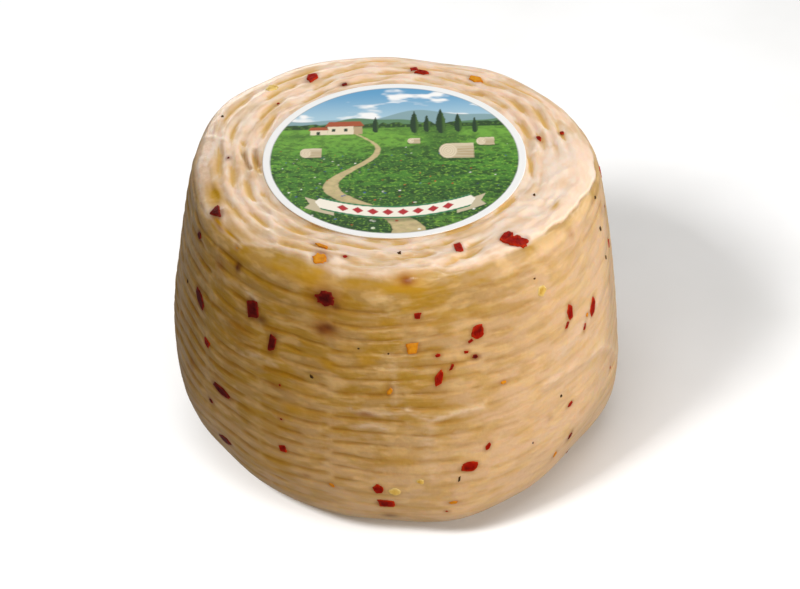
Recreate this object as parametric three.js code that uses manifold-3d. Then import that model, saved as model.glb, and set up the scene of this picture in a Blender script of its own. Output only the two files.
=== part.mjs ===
// Primo sale cheese: a drum of fresh pressed curd with chilli flakes in it, turned out of a
// basket mould whose weave stays on its side, top and base as ridges, with a round paper
// label lying on its top.
// Millimetres, +Z up. The origin is the middle of the base, and the front faces -Y.
// A place on the skin is an azimuth, in degrees from the front towards +X, and a station,
// the distance along the drum's outline from the middle of the top, over the shoulder, down
// the side, round the foot and in to the middle of the base.

import * as THREE from "three";
import Module from "manifold-3d";

// ---- Driving dimensions -------------------------------------------------------------

const HEIGHT = 92;
const BELLY_RADIUS = 65; // the drum is widest a little above its foot
const BELLY_HEIGHT = 26.5;
const RIM_TAPER = 0.13; // share of the radius lost from belly to rim
const RIM_CURVE = 2;
const FOOT_TAPER = 0.112; // share of the radius lost from belly to foot
const FOOT_CURVE = 1.6;
const SHOULDER = { reach: 10, drop: 6 }; // quarter ellipse between side and top
const FOOT = { reach: 10.6, drop: 11.5 }; // quarter ellipse between side and base

// Where handling and its own weight pushed the soft drum out or in: oval patches, with
// their half widths in degrees and millimetres.
const PUSHES = [
  { azimuth: -58, height: 9, wide: 20, tall: 12, out: -1.6 },
  { azimuth: -12, height: 9, wide: 22, tall: 12, out: -1.1 },
  { azimuth: 14, height: 9, wide: 13, tall: 12, out: 2.3 },
  { azimuth: 50, height: 9, wide: 15, tall: 12, out: -1.2 },
  { azimuth: 86, height: 9, wide: 15, tall: 12, out: 2.1 },
  { azimuth: 132, height: 9, wide: 18, tall: 12, out: -1.0 },
  { azimuth: 178, height: 9, wide: 20, tall: 12, out: 1.2 },
  { azimuth: -124, height: 9, wide: 18, tall: 12, out: 1.4 },
  { azimuth: 170, height: 92, wide: 32, tall: 22, out: -1.9 },
  { azimuth: -128, height: 92, wide: 24, tall: 22, out: 2.7 },
];

const LABEL_RADIUS = 37.5;
const LABEL_THICKNESS = 0.3;
const LABEL_GAP = 0.3; // air between the paper and the curd
const LABEL_CENTRE = { x: 0.2, y: -1.6 };
const LABEL_SIDES = 72;

const COLUMNS = 54; // facets round the drum, 3 to each panel of the weave
const PANEL_ANGLE = 20; // degrees of the basket's side between two uprights
const FIRST_UPRIGHT = -18; // azimuth of the upright before the first panel
const RIDGE_ROWS = 3; // rows of points to a ridge: its groove and both edges of its crest
// How far each panel's grooves lie below their neighbours', in thirds of a pitch.
const PANEL_STEPS = [1, 1, 2, 1, 2, 0, 1, 2, 2, 1, 0, 0, 1, 2, 1, 0, 0, 0];

const SIDE_WEAVE = { pitch: 4.5, ridges: 17, depth: 1.05 };
const CREST_SHARE = 0.4; // share of the weave's depth that stands out past the outline
const FIRST_GROOVE_HEIGHT = 83.8;
const TOP_RINGS = { start: 36, pitch: 3.6, ridges: 5, depth: 1.1 };
const BASE_RINGS = { pitch: 4, ridges: 3, depth: 1 };
const POCKETS_PER_RING = 13; // a ring's groove is a row of short pockets
const ROW_SHIFT = 2.4; // radians of a pocket's wave from one ring to the next
const WALL_SHARE = 0.35; // depth left between two pockets
const REST_RADIUS = 24; // flat curd in the middle of the base
const WEAVE_FADE = 5; // the relief dies away over this length past its last ridge
const BROAD_FADE = 9; // and the broad unevenness over this one

// Uneven lines and lumps, as sums of waves round the drum: size in millimetres, waves in a
// full turn, phase, and how many radians the wave drifts in a millimetre of the outline.
const SIDE_STRAY = [
  { size: 0.7, turns: 2, phase: 0.5, drift: 0 },
  { size: 0.45, turns: 5, phase: 0, drift: 0.053 },
  { size: 0.25, turns: 9, phase: 2, drift: 0.091 },
];
const RING_STRAY = [
  { size: 0.6, turns: 6, phase: 1, drift: 0 },
  { size: 0.4, turns: 11, phase: 0, drift: 0.333 },
];
const LUMPS = [
  { size: 0.4, turns: 3, phase: 1.1, drift: 0.042 },
  { size: 0.3, turns: 7, phase: 0.4, drift: -0.067 },
  { size: 0.2, turns: 12, phase: 2, drift: 0.111 },
];

// Where the weave was rubbed or pressed smooth: a share of its depth, over an oval patch.
const WORN_PATCHES = [
  { azimuth: 56, height: 46, wide: 34, tall: 60, worn: 0.7 },
  { azimuth: 6, height: 8, wide: 62, tall: 14, worn: 0.7 },
  { azimuth: 6, height: 88, wide: 24, tall: 6, worn: 0.85 },
  { azimuth: -70, height: 18, wide: 26, tall: 16, worn: 0.6 },
  { azimuth: 176, height: 22, wide: 36, tall: 22, worn: 0.6 },
  { azimuth: -138, height: 70, wide: 22, tall: 20, worn: 0.5 },
];

// Chilli flakes and seeds: how far they stand proud and how deep they are sunk.
const FLAKE_PROUD = 0.55;
const FLAKE_SUNK = 1.9;
const FLAKE_SIDES = 6;
const HIDDEN_FLAKES = 18;
const SEED = 20261;

const CURD_COLOUR = 0xe8cfa6;
const PAPER_COLOUR = 0xf2f1ea;

// ---- Small helpers ------------------------------------------------------------------

const radians = THREE.MathUtils.degToRad;
const { clamp, smoothstep, lerp } = THREE.MathUtils;

/** Smallest signed angle between two azimuths, in degrees. */
function angleBetween(a, b) {
  return ((((a - b + 180) % 360) + 360) % 360) - 180;
}

/** A seeded run of numbers from 0 to 1, the same on every machine. */
function seededDraws(seed) {
  let state = seed;
  return () => {
    state = (state * 16807) % 2147483647;
    return state / 2147483647;
  };
}

/** Values from start to end in equal steps, both ends included. */
function spread(start, end, steps) {
  return Array.from({ length: steps + 1 }, (_, i) => lerp(start, end, i / steps));
}

// ---- The drum's outline -------------------------------------------------------------

/** Radius of the smooth drum's side at a height, before its edges are rounded. */
function sideRadius(height) {
  const above = Math.max(height - BELLY_HEIGHT, 0) / (HEIGHT - BELLY_HEIGHT);
  const below = Math.max(BELLY_HEIGHT - height, 0) / BELLY_HEIGHT;
  const lost = RIM_TAPER * above ** RIM_CURVE + FOOT_TAPER * below ** FOOT_CURVE;
  return BELLY_RADIUS * (1 - lost);
}

/** How far a rounded edge draws the side in, at a share of the edge's own height. */
function edgeInset(edge, share) {
  return edge.reach * (1 - Math.sqrt(1 - clamp(share, 0, 1) ** 2));
}

/** The outline from the middle of the top to the middle of the base, in small steps. */
function outlinePoints() {
  const steps = 400;
  const heights = spread(0, Math.PI, steps).map((t) => (HEIGHT * (1 + Math.cos(t))) / 2);
  const points = heights.map((height) => {
    const shoulder = edgeInset(SHOULDER, (height - HEIGHT + SHOULDER.drop) / SHOULDER.drop);
    const foot = edgeInset(FOOT, (FOOT.drop - height) / FOOT.drop);
    return new THREE.Vector2(sideRadius(height) - shoulder - foot, height);
  });
  return [new THREE.Vector2(0, HEIGHT), ...points, new THREE.Vector2(0, 0)];
}

const OUTLINE = outlinePoints();
const STATIONS = OUTLINE.reduce((lengths, point, i) => {
  lengths.push(i === 0 ? 0 : lengths[i - 1] + point.distanceTo(OUTLINE[i - 1]));
  return lengths;
}, []);
const OUTLINE_LENGTH = STATIONS[STATIONS.length - 1];

/** Radius and height of the smooth outline at a station. */
function outlineAt(station) {
  const s = clamp(station, 0, OUTLINE_LENGTH);
  const next = Math.max(1, STATIONS.findIndex((length) => length >= s));
  const share = (s - STATIONS[next - 1]) / (STATIONS[next] - STATIONS[next - 1]);
  return new THREE.Vector2().lerpVectors(OUTLINE[next - 1], OUTLINE[next], share);
}

/** The outline's outward direction at a station, across a short stretch of it. */
function outwardAt(station) {
  const reach = 0.6;
  const along = outlineAt(station + reach).sub(outlineAt(station - reach)).normalize();
  return new THREE.Vector2(-along.y, along.x);
}

/** Station of a height on the side. */
function stationOfHeight(height) {
  const i = OUTLINE.findIndex((point, k) => k > 0 && point.y <= height);
  const share = (OUTLINE[i - 1].y - height) / (OUTLINE[i - 1].y - OUTLINE[i].y);
  return lerp(STATIONS[i - 1], STATIONS[i], share);
}

const TOP_RINGS_END = TOP_RINGS.start + TOP_RINGS.ridges * TOP_RINGS.pitch;
const SIDE_START = stationOfHeight(FIRST_GROOVE_HEIGHT);
const SIDE_END = SIDE_START + SIDE_WEAVE.ridges * SIDE_WEAVE.pitch;
const BASE_RINGS_END = OUTLINE_LENGTH - REST_RADIUS;
const BASE_RINGS_START = BASE_RINGS_END - BASE_RINGS.ridges * BASE_RINGS.pitch;

// ---- Relief -------------------------------------------------------------------------

/** 1 between two stations, fading to 0 over a reach outside them. */
function within(station, start, end, reach) {
  return smoothstep(station, start - reach, start) * (1 - smoothstep(station, end, end + reach));
}

/** Sum of waves round the drum at a place. */
function waves(list, station, azimuth) {
  return list.reduce((sum, { size, turns, phase, drift }) => {
    return sum + size * Math.sin(turns * radians(azimuth) + phase + drift * station);
  }, 0);
}

/** How far the weave's lines stray along the outline. */
function stray(station, azimuth) {
  const onSide = within(station, SIDE_START, SIDE_END - BROAD_FADE, BROAD_FADE);
  const onRings = within(station, TOP_RINGS.start + TOP_RINGS.pitch, TOP_RINGS_END,
    TOP_RINGS.pitch);
  return onSide * waves(SIDE_STRAY, station, azimuth)
    + onRings * waves(RING_STRAY, station, azimuth);
}

/** Depth of a groove as a share of the full one: its walls take a third of a pitch each. */
function grooveShare(ridges) {
  const fromGroove = Math.abs(ridges - Math.round(ridges));
  return 1 - Math.min(RIDGE_ROWS * fromGroove, 1);
}

/** Step of the panel at an azimuth, in pitches. */
function panelStep(azimuth) {
  const turn = (((azimuth - FIRST_UPRIGHT) % 360) + 360) % 360;
  return PANEL_STEPS[Math.floor(turn / PANEL_ANGLE)] / RIDGE_ROWS;
}

/** Share of the weave's depth that is left after wear. */
function unworn(azimuth, height) {
  return WORN_PATCHES.reduce((left, patch) => left * (1 - patch.worn * patchShare(patch,
    azimuth, height)), 1);
}

/** Relief of the woven side: grooves below the drum's outline and crests above it. */
function sideWeave(station, azimuth, height) {
  const ridges = (station - SIDE_START) / SIDE_WEAVE.pitch - panelStep(azimuth);
  const level = CREST_SHARE - grooveShare(ridges);
  return level * SIDE_WEAVE.depth * unworn(azimuth, height)
    * within(station, SIDE_START, SIDE_END - WEAVE_FADE, WEAVE_FADE);
}

/** Relief of rings of pockets from a station on: grooves only, so their crests stay level. */
function pocketRings(rings, start, station, azimuth) {
  const ridges = (station - start) / rings.pitch;
  if (ridges <= 0 || ridges >= rings.ridges) return 0;
  const row = Math.round(ridges);
  if (row === 0 || row === rings.ridges) return 0;
  const pocket = 0.5 + 0.5 * Math.sin(POCKETS_PER_RING * radians(azimuth) + ROW_SHIFT * row);
  return -rings.depth * grooveShare(ridges) * lerp(WALL_SHARE, 1, pocket);
}

/** Broad unevenness of the pressed curd, away from its flat middles. */
function lumps(station, azimuth) {
  const share = within(station, TOP_RINGS_END, SIDE_END, BROAD_FADE);
  return share * waves(LUMPS, station, azimuth);
}

/** A patch's strength at a place: 1 in its middle, fading out over its half widths. */
function patchShare(patch, azimuth, height) {
  const along = angleBetween(azimuth, patch.azimuth) / patch.wide;
  const across = (height - patch.height) / patch.tall;
  return Math.exp(-(along * along + across * across));
}

/** Radial push of the drum's dents and swellings, away from its flat middles. */
function pushed(azimuth, place) {
  const push = PUSHES.reduce((sum, patch) => {
    return sum + patch.out * patchShare(patch, azimuth, place.y);
  }, 0);
  return push * smoothstep(place.x, LABEL_RADIUS + 2, LABEL_RADIUS + 16);
}

/** A point of the skin, with its relief. */
function skinPoint(station, azimuth) {
  const strayed = station + stray(station, azimuth);
  const place = outlineAt(strayed);
  const outward = outwardAt(strayed);
  const relief = sideWeave(station, azimuth, place.y) + lumps(station, azimuth)
    + pocketRings(TOP_RINGS, TOP_RINGS.start, station, azimuth)
    + pocketRings(BASE_RINGS, BASE_RINGS_START, station, azimuth);
  const radius = place.x + relief * outward.x + pushed(azimuth, place);
  const a = radians(azimuth);
  return new THREE.Vector3(radius * Math.sin(a), -radius * Math.cos(a),
    place.y + relief * outward.y);
}

// ---- Solids -------------------------------------------------------------------------

/** Mesh geometry of a closed body from its points and triangles. */
function bodyGeometry(points, triangles) {
  const geometry = new THREE.BufferGeometry();
  const flat = points.flatMap((point) => point.toArray());
  geometry.setAttribute("position", new THREE.Float32BufferAttribute(flat, 3));
  geometry.setIndex(triangles.flat());
  return geometry;
}

/** Stations of the drum's rows of points. */
function rowStations() {
  const rings = spread(TOP_RINGS.start, TOP_RINGS_END, RIDGE_ROWS * TOP_RINGS.ridges);
  const shoulder = spread(TOP_RINGS_END, SIDE_START, 3).slice(1, -1);
  const side = spread(SIDE_START, SIDE_END, RIDGE_ROWS * SIDE_WEAVE.ridges);
  const foot = spread(SIDE_END, BASE_RINGS_START, 6).slice(1, -1);
  const base = spread(BASE_RINGS_START, BASE_RINGS_END, RIDGE_ROWS * BASE_RINGS.ridges);
  return [...rings, ...shoulder, ...side, ...foot, ...base];
}

/** The curd drum without its flakes, as rows of points between a top and a base pole. */
function drumGeometry() {
  const rows = rowStations();
  const azimuths = spread(0, 360, COLUMNS).slice(0, -1).map((a) => a + 180 / COLUMNS);
  const skin = rows.flatMap((station) => azimuths.map((a) => skinPoint(station, a)));
  const points = [new THREE.Vector3(0, 0, HEIGHT), ...skin, new THREE.Vector3(0, 0, 0)];
  const triangles = [];
  azimuths.forEach((_, column) => {
    const next = (column + 1) % COLUMNS;
    const point = (row, col) => 1 + row * COLUMNS + col;
    triangles.push([0, point(0, column), point(0, next)]);
    for (let row = 0; row + 1 < rows.length; row += 1) {
      const [a, b] = [point(row, column), point(row, next)];
      const [c, d] = [point(row + 1, column), point(row + 1, next)];
      triangles.push([a, c, d], [a, d, b]);
    }
    const last = rows.length - 1;
    triangles.push([points.length - 1, point(last, next), point(last, column)]);
  });
  return bodyGeometry(points, triangles);
}

/** A flake on the side, at a height. */
function onSide(azimuth, height, wide, tall, turn = 0) {
  return { azimuth, station: stationOfHeight(height), wide, tall, turn };
}

/** A flake on the top, at a distance from its middle. */
function onTop(azimuth, radius, wide, tall, turn = 0) {
  return { azimuth, station: radius, wide, tall, turn };
}

// The larger flakes of the front and the top: azimuth, height or radius, width, height on
// the skin and turn.
const SHOWN_FLAKES = [
  onSide(-19.6, 84.4, 6.4, 5.2, 12),
  onSide(-19, 75.4, 4.8, 3.4, 30),
  onSide(-41, 74, 4.8, 6.4, 4),
  onSide(-34.3, 65.8, 2.4, 5.8, -8),
  onSide(-63.5, 63, 6.8, 4.6, -35),
  onSide(-58, 52.4, 3.4, 2.6),
  onSide(-68.4, 81, 3.2, 2.4, 15),
  onSide(-51.7, 40, 8, 3.6, -8),
  onSide(-54, 18.5, 6.6, 4.2, 20),
  onSide(-30.8, 31.3, 2.6, 3, 10),
  onSide(5.5, 80.7, 2.2, 2.2),
  onSide(3.9, 70.8, 3.8, 3.8, 6),
  onSide(10.2, 60.5, 2.6, 6.4, -18),
  onSide(21.3, 72.8, 4.2, 4.6, 10),
  onSide(50.5, 65.4, 2.8, 7, -6),
  onSide(61, 60, 6, 4.2, 12),
  onSide(42, 78.3, 3.4, 4, 20),
  onSide(17.2, 30.2, 5.2, 4.4, 8),
  onSide(-5.9, 22.6, 3.4, 4.2),
  onSide(-1.8, 22, 3.6, 3.4),
  onSide(-4.1, 16.4, 5.2, 4),
  onTop(-64, 55, 4.6, 3.4, 20),
  onTop(-24, 51.8, 4.4, 3.6),
  onTop(21.7, 46.6, 2.4, 4),
  onTop(40.4, 51.8, 8.6, 6.4, 15),
  onTop(-150, 47.5, 4.6, 3.2, 30),
  onTop(168, 43.4, 5.6, 3.4, -20),
  onTop(147, 46.3, 4.4, 3.4),
  onTop(-135.7, 49.2, 3.8, 3.2),
];

/** Flakes by rule for the side's back, each in its own sector. */
function hiddenFlakes() {
  const draw = seededDraws(SEED);
  return Array.from({ length: HIDDEN_FLAKES }, (_, i) => {
    const azimuth = 90 + (180 * (i + draw())) / HIDDEN_FLAKES;
    const level = (((i * 5) % 9) + draw()) / 9;
    const wide = lerp(3, 7, draw() ** 1.6);
    const tall = wide * lerp(0.5, 1, draw());
    return { azimuth, station: lerp(SIDE_START, SIDE_END, level), wide, tall, turn: 180 * draw() };
  });
}

/** One flake: a low irregular slab with a raised middle, sunk into the skin. */
function flakeGeometry(flake, draw) {
  const centre = skinPoint(flake.station, flake.azimuth);
  const around = skinPoint(flake.station, flake.azimuth + 1)
    .sub(skinPoint(flake.station, flake.azimuth - 1)).normalize();
  const up = skinPoint(flake.station - 2, flake.azimuth)
    .sub(skinPoint(flake.station + 2, flake.azimuth)).normalize();
  const outward = new THREE.Vector3().crossVectors(around, up).normalize();
  up.crossVectors(outward, around);
  const turned = radians(flake.turn);
  const place = (x, y, out) => centre.clone()
    .addScaledVector(around, x * Math.cos(turned) - y * Math.sin(turned))
    .addScaledVector(up, x * Math.sin(turned) + y * Math.cos(turned))
    .addScaledVector(outward, out);
  const corners = Array.from({ length: FLAKE_SIDES }, (_, i) => {
    const angle = (2 * Math.PI * (i + 0.4 * draw())) / FLAKE_SIDES;
    const size = 0.5 * lerp(0.86, 1.08, draw());
    return [flake.wide * size * Math.cos(angle), flake.tall * size * Math.sin(angle)];
  });
  const top = corners.map(([x, y]) => place(x * 0.86, y * 0.86, FLAKE_PROUD * 0.7));
  const bottom = corners.map(([x, y]) => place(x, y, -FLAKE_SUNK));
  const points = [...top, ...bottom, place(0, 0, FLAKE_PROUD), place(0, 0, -FLAKE_SUNK)];
  const triangles = corners.flatMap((_, i) => {
    const j = (i + 1) % FLAKE_SIDES;
    const [lowI, lowJ] = [i + FLAKE_SIDES, j + FLAKE_SIDES];
    return [
      [i, j, 2 * FLAKE_SIDES],
      [lowJ, lowI, 2 * FLAKE_SIDES + 1],
      [i, lowI, lowJ],
      [i, lowJ, j],
    ];
  });
  return bodyGeometry(points, triangles);
}

/** A geometry as a solid that can be joined. */
function solidOf(wasm, geometry) {
  return new wasm.Manifold(new wasm.Mesh({
    numProp: 3,
    vertProperties: new Float32Array(geometry.getAttribute("position").array),
    triVerts: new Uint32Array(geometry.getIndex().array),
  }));
}

/** A joined solid as geometry again. */
function geometryOf(solid) {
  const { vertProperties, triVerts } = solid.getMesh();
  const geometry = new THREE.BufferGeometry();
  geometry.setAttribute("position", new THREE.BufferAttribute(vertProperties, 3));
  geometry.setIndex(new THREE.BufferAttribute(triVerts, 1));
  return geometry;
}

/** The drum with its flakes fused to it. */
async function cheeseGeometry() {
  const wasm = await Module();
  wasm.setup();
  const draw = seededDraws(SEED + 1);
  const drum = solidOf(wasm, drumGeometry());
  const whole = [...SHOWN_FLAKES, ...hiddenFlakes()].reduce((solid, flake) => {
    return solid.add(solidOf(wasm, flakeGeometry(flake, draw)));
  }, drum);
  return geometryOf(whole);
}

/** The round paper label. */
function labelGeometry() {
  const paper = new THREE.CylinderGeometry(LABEL_RADIUS, LABEL_RADIUS, LABEL_THICKNESS,
    LABEL_SIDES);
  return paper.rotateX(Math.PI / 2);
}

/** A named sub-part in its own material. */
function subPart(name, geometry, colour, roughness) {
  const material = new THREE.MeshStandardMaterial({ color: colour, roughness, metalness: 0 });
  const mesh = new THREE.Mesh(geometry, material);
  mesh.name = name;
  return mesh;
}

const cheese = subPart("cheese", await cheeseGeometry(), CURD_COLOUR, 0.45);
const label = subPart("label", labelGeometry(), PAPER_COLOUR, 0.6);
label.position.set(LABEL_CENTRE.x, LABEL_CENTRE.y, HEIGHT + LABEL_GAP + LABEL_THICKNESS / 2);

const group = new THREE.Group();
group.add(cheese, label);

export default group;
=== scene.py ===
"""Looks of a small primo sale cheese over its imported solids.

The cheese is a drum of young curd turned out of a woven mould. Its fine skin takes the place
of the plain solid: the mould's ridges, rings of pockets, creases and lips are in its mesh, and
the dried chilli, seeds and pepper pressed into it are pieces of their own. A round paper label
with a printed landscape lies on top.

A place on the skin is a turn, in radians from the front towards +X, and a station, the distance
in millimetres along the drum's outline from the middle of the top, over the shoulder, down the
side, round the foot and in to the middle of the base. Shapes are worked out in millimetres and
go into their meshes in metres.
"""

import logging
import math
from collections.abc import Iterator
from dataclasses import dataclass, field
from enum import Enum, IntEnum

import bpy
import numpy as np
from mathutils import Matrix, Vector


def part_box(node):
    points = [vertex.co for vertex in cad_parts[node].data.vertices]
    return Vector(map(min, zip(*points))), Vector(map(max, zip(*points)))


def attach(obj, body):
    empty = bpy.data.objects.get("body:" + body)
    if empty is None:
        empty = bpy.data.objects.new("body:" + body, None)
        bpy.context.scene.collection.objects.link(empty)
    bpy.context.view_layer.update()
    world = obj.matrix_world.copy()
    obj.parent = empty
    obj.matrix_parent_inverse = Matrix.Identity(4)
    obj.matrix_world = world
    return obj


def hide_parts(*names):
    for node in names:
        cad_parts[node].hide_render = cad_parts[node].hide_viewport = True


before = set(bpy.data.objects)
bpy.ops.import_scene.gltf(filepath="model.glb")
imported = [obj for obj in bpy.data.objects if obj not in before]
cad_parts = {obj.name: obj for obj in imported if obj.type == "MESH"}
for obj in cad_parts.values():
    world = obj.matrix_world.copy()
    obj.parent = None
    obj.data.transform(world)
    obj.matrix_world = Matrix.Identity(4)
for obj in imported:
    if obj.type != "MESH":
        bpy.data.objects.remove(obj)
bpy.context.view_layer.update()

LOG = logging.getLogger("primo_sale")
MM = 0.001  # metres
BODY = "root"
PHOTO_WIDTH = 800  # pixels
LABEL_GAP = 0.3  # millimetres of air between the flat top and the label's solid

Array = np.ndarray
Slopes = tuple[tuple[float, float], tuple[float, float]]
Socket = bpy.types.NodeSocket


# ---- Numbers, fields and colours ----


class Seed(IntEnum):
    """Which run of random values each field and each scatter uses."""

    GROOVE_BREAKS = 11
    RIDGE_BLOCKS = 12
    POCKET_WANDER = 14
    POCKET_LUMPS = 15
    RIDGE_WAVER = 16
    LEDGE_BREAKS = 17
    CLOUDS = 30
    TREE_CROWNS = 41
    WOOD_LEAVES = 42
    MEADOW_BANDS = 43
    TRACK_EDGE = 44
    CYPRESS_EDGE = 45
    TRACK_WEAR = 46
    BALE_STRAW = 47
    FLOWERS = 52
    FLAKES = 20261
    SPECKS = 20263


def linear(colour: int) -> Array:
    """Turn an sRGB hex colour linear: a straight line near black, a power of 2.4 above it.

    Args:
        colour: the colour.

    Returns:
        Linear red, green and blue, and a full alpha.
    """
    parts = np.array([(colour >> shift) & 255 for shift in (16, 8, 0)]) / 255
    low, high = parts / 12.92, ((parts + 0.055) / 1.055) ** 2.4
    return np.append(np.where(parts <= 0.04045, low, high), 1.0)


def smoothstep(value: Array, low: float, high: float) -> Array:
    """Rise smoothly from 0 at low to 1 at high, as 3t squared less 2t cubed."""
    share = np.clip((value - low) / (high - low), 0, 1)
    return share * share * (3 - 2 * share)


def falling(value: Array, low: float, high: float) -> Array:
    """Fall smoothly from 1 at low to 0 at high."""
    return 1 - smoothstep(value, low, high)


def plateau(value: Array, rise: tuple[float, float],
            fall: tuple[float, float]) -> Array:
    """Rise smoothly from 0 to 1 over one slope and fall back to 0 over another."""
    return smoothstep(value, *rise) * falling(value, *fall)


def within(station: Array, start: float, end: float, reach: float) -> Array:
    """1 between two stations, fading to 0 over a reach outside them."""
    return plateau(station, (start - reach, start), (end, end + reach))


def bell(away: Array, width: float) -> Array:
    """1 at no distance, falling off as e to the minus square of distance over half width."""
    return np.exp(-(away / width) ** 2)


def turn_between(a: Array, b: float) -> Array:
    """Smallest signed angle from b to a, in radians."""
    return np.mod(a - b + np.pi, 2 * np.pi) - np.pi


def full_turns(turn: Array) -> Array:
    """An angle in radians as a number of full turns."""
    return turn / (2 * np.pi)


def lattice_noise(across: Array, along: Array, seed: int, closes_in: int = 0,
                  blend: float = 0.5) -> Array:
    """Smooth random field from 0 to 1.

    Random values stand at the whole numbers of a lattice. Between four of them the field is
    their weighted mean, each weight a smoothstep of the distance.

    Args:
        across: place across the lattice, in lattice steps.
        along: place along the lattice, in lattice steps.
        seed: which run of random values to use.
        closes_in: lattice steps after which along starts again, or 0 for never.
        blend: half width of the blend between two values, in steps; a small one gives blocks.

    Returns:
        The field's value at each place.
    """
    low_across, low_along = int(np.floor(across.min())), int(np.floor(along.min()))
    rows = int(np.floor(across.max())) - low_across + 2
    columns = closes_in or int(np.floor(along.max())) - low_along + 2
    values = np.random.default_rng(int(seed)).random((rows, columns))
    row, column = np.floor(across).astype(int), np.floor(along).astype(int)
    down = smoothstep(across - row, 0.5 - blend, 0.5 + blend)
    right = smoothstep(along - column, 0.5 - blend, 0.5 + blend)
    row = row - low_across
    here = column % columns if closes_in else column - low_along
    after = (column + 1) % columns if closes_in else here + 1
    upper = values[row, here] * (1 - right) + values[row, after] * right
    lower = values[row + 1, here] * (1 - right) + values[row + 1, after] * right
    return upper * (1 - down) + lower * down


def seeded_draws(seed: int) -> Iterator[float]:
    """Draw numbers from 0 to 1, the same on every machine.

    Each state is the last one times a factor, less all whole primes in it.

    Args:
        seed: the state before the first.

    Returns:
        An endless run of the states, each as a share of the prime.
    """
    factor, prime = 16807, 2147483647
    state = int(seed)
    while True:
        state = (state * factor) % prime
        yield state / prime


@dataclass(frozen=True)
class Wave:
    """One wave of an uneven line round the drum.

    Attributes:
        size: its height in millimetres.
        turns: waves in a full turn.
        phase: its phase in radians.
        drift: radians that it drifts in a millimetre of the outline.
    """

    size: float
    turns: int
    phase: float
    drift: float

    def at(self, station: Array, turn: Array) -> Array:
        """Height of the wave at a place: size times the sine of its running phase."""
        return self.size * np.sin(self.turns * turn + self.phase + self.drift * station)


@dataclass(frozen=True)
class Patch:
    """A soft oval area of the skin.

    Attributes:
        azimuth: middle, in degrees from the front.
        level: middle, in millimetres: a height above the base or a station on the outline.
        wide: half width round the drum, in degrees.
        tall: half height, in millimetres.
        amount: what the area adds or takes at its middle.
    """

    azimuth: float
    level: float
    wide: float
    tall: float
    amount: float

    def share(self, turn: Array, level: Array) -> Array:
        """1 in the middle, falling off as a bell over the half widths.

        Args:
            turn: places round the drum.
            level: their heights or stations, whichever the patch's own level is.

        Returns:
            The share at each place.
        """
        along = np.degrees(turn_between(turn, math.radians(self.azimuth))) / self.wide
        across = (level - self.level) / self.tall
        return np.exp(-(along ** 2 + across ** 2))


def patches(*rows: tuple[float, ...]) -> tuple[Patch, ...]:
    """Patches from rows of azimuth, level, half width, half height and amount."""
    return tuple(Patch(*row) for row in rows)


def strongest(areas: tuple[Patch, ...], turn: Array, level: Array) -> Array:
    """The largest amount that any of some patches gives at each place.

    Args:
        areas: the patches.
        turn: places round the drum.
        level: their heights or stations, whichever the patches' own levels are.

    Returns:
        The amounts, 0 where no patch reaches.
    """
    amounts = np.zeros(np.broadcast(turn, level).shape)
    for patch in areas:
        amounts = np.maximum(amounts, patch.amount * patch.share(turn, level))
    return amounts


# ---- The drum ----


@dataclass(frozen=True)
class RoundedEdge:
    """Quarter ellipse that rounds an edge of the drum, in millimetres.

    Attributes:
        reach: how far it draws the side in.
        drop: how much of the drum's height it takes.
    """

    reach: float
    drop: float

    def inset(self, share: Array) -> Array:
        """How far the edge draws the side in, at a share of the edge's own height."""
        return self.reach * (1 - np.sqrt(1 - np.clip(share, 0, 1) ** 2))


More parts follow.
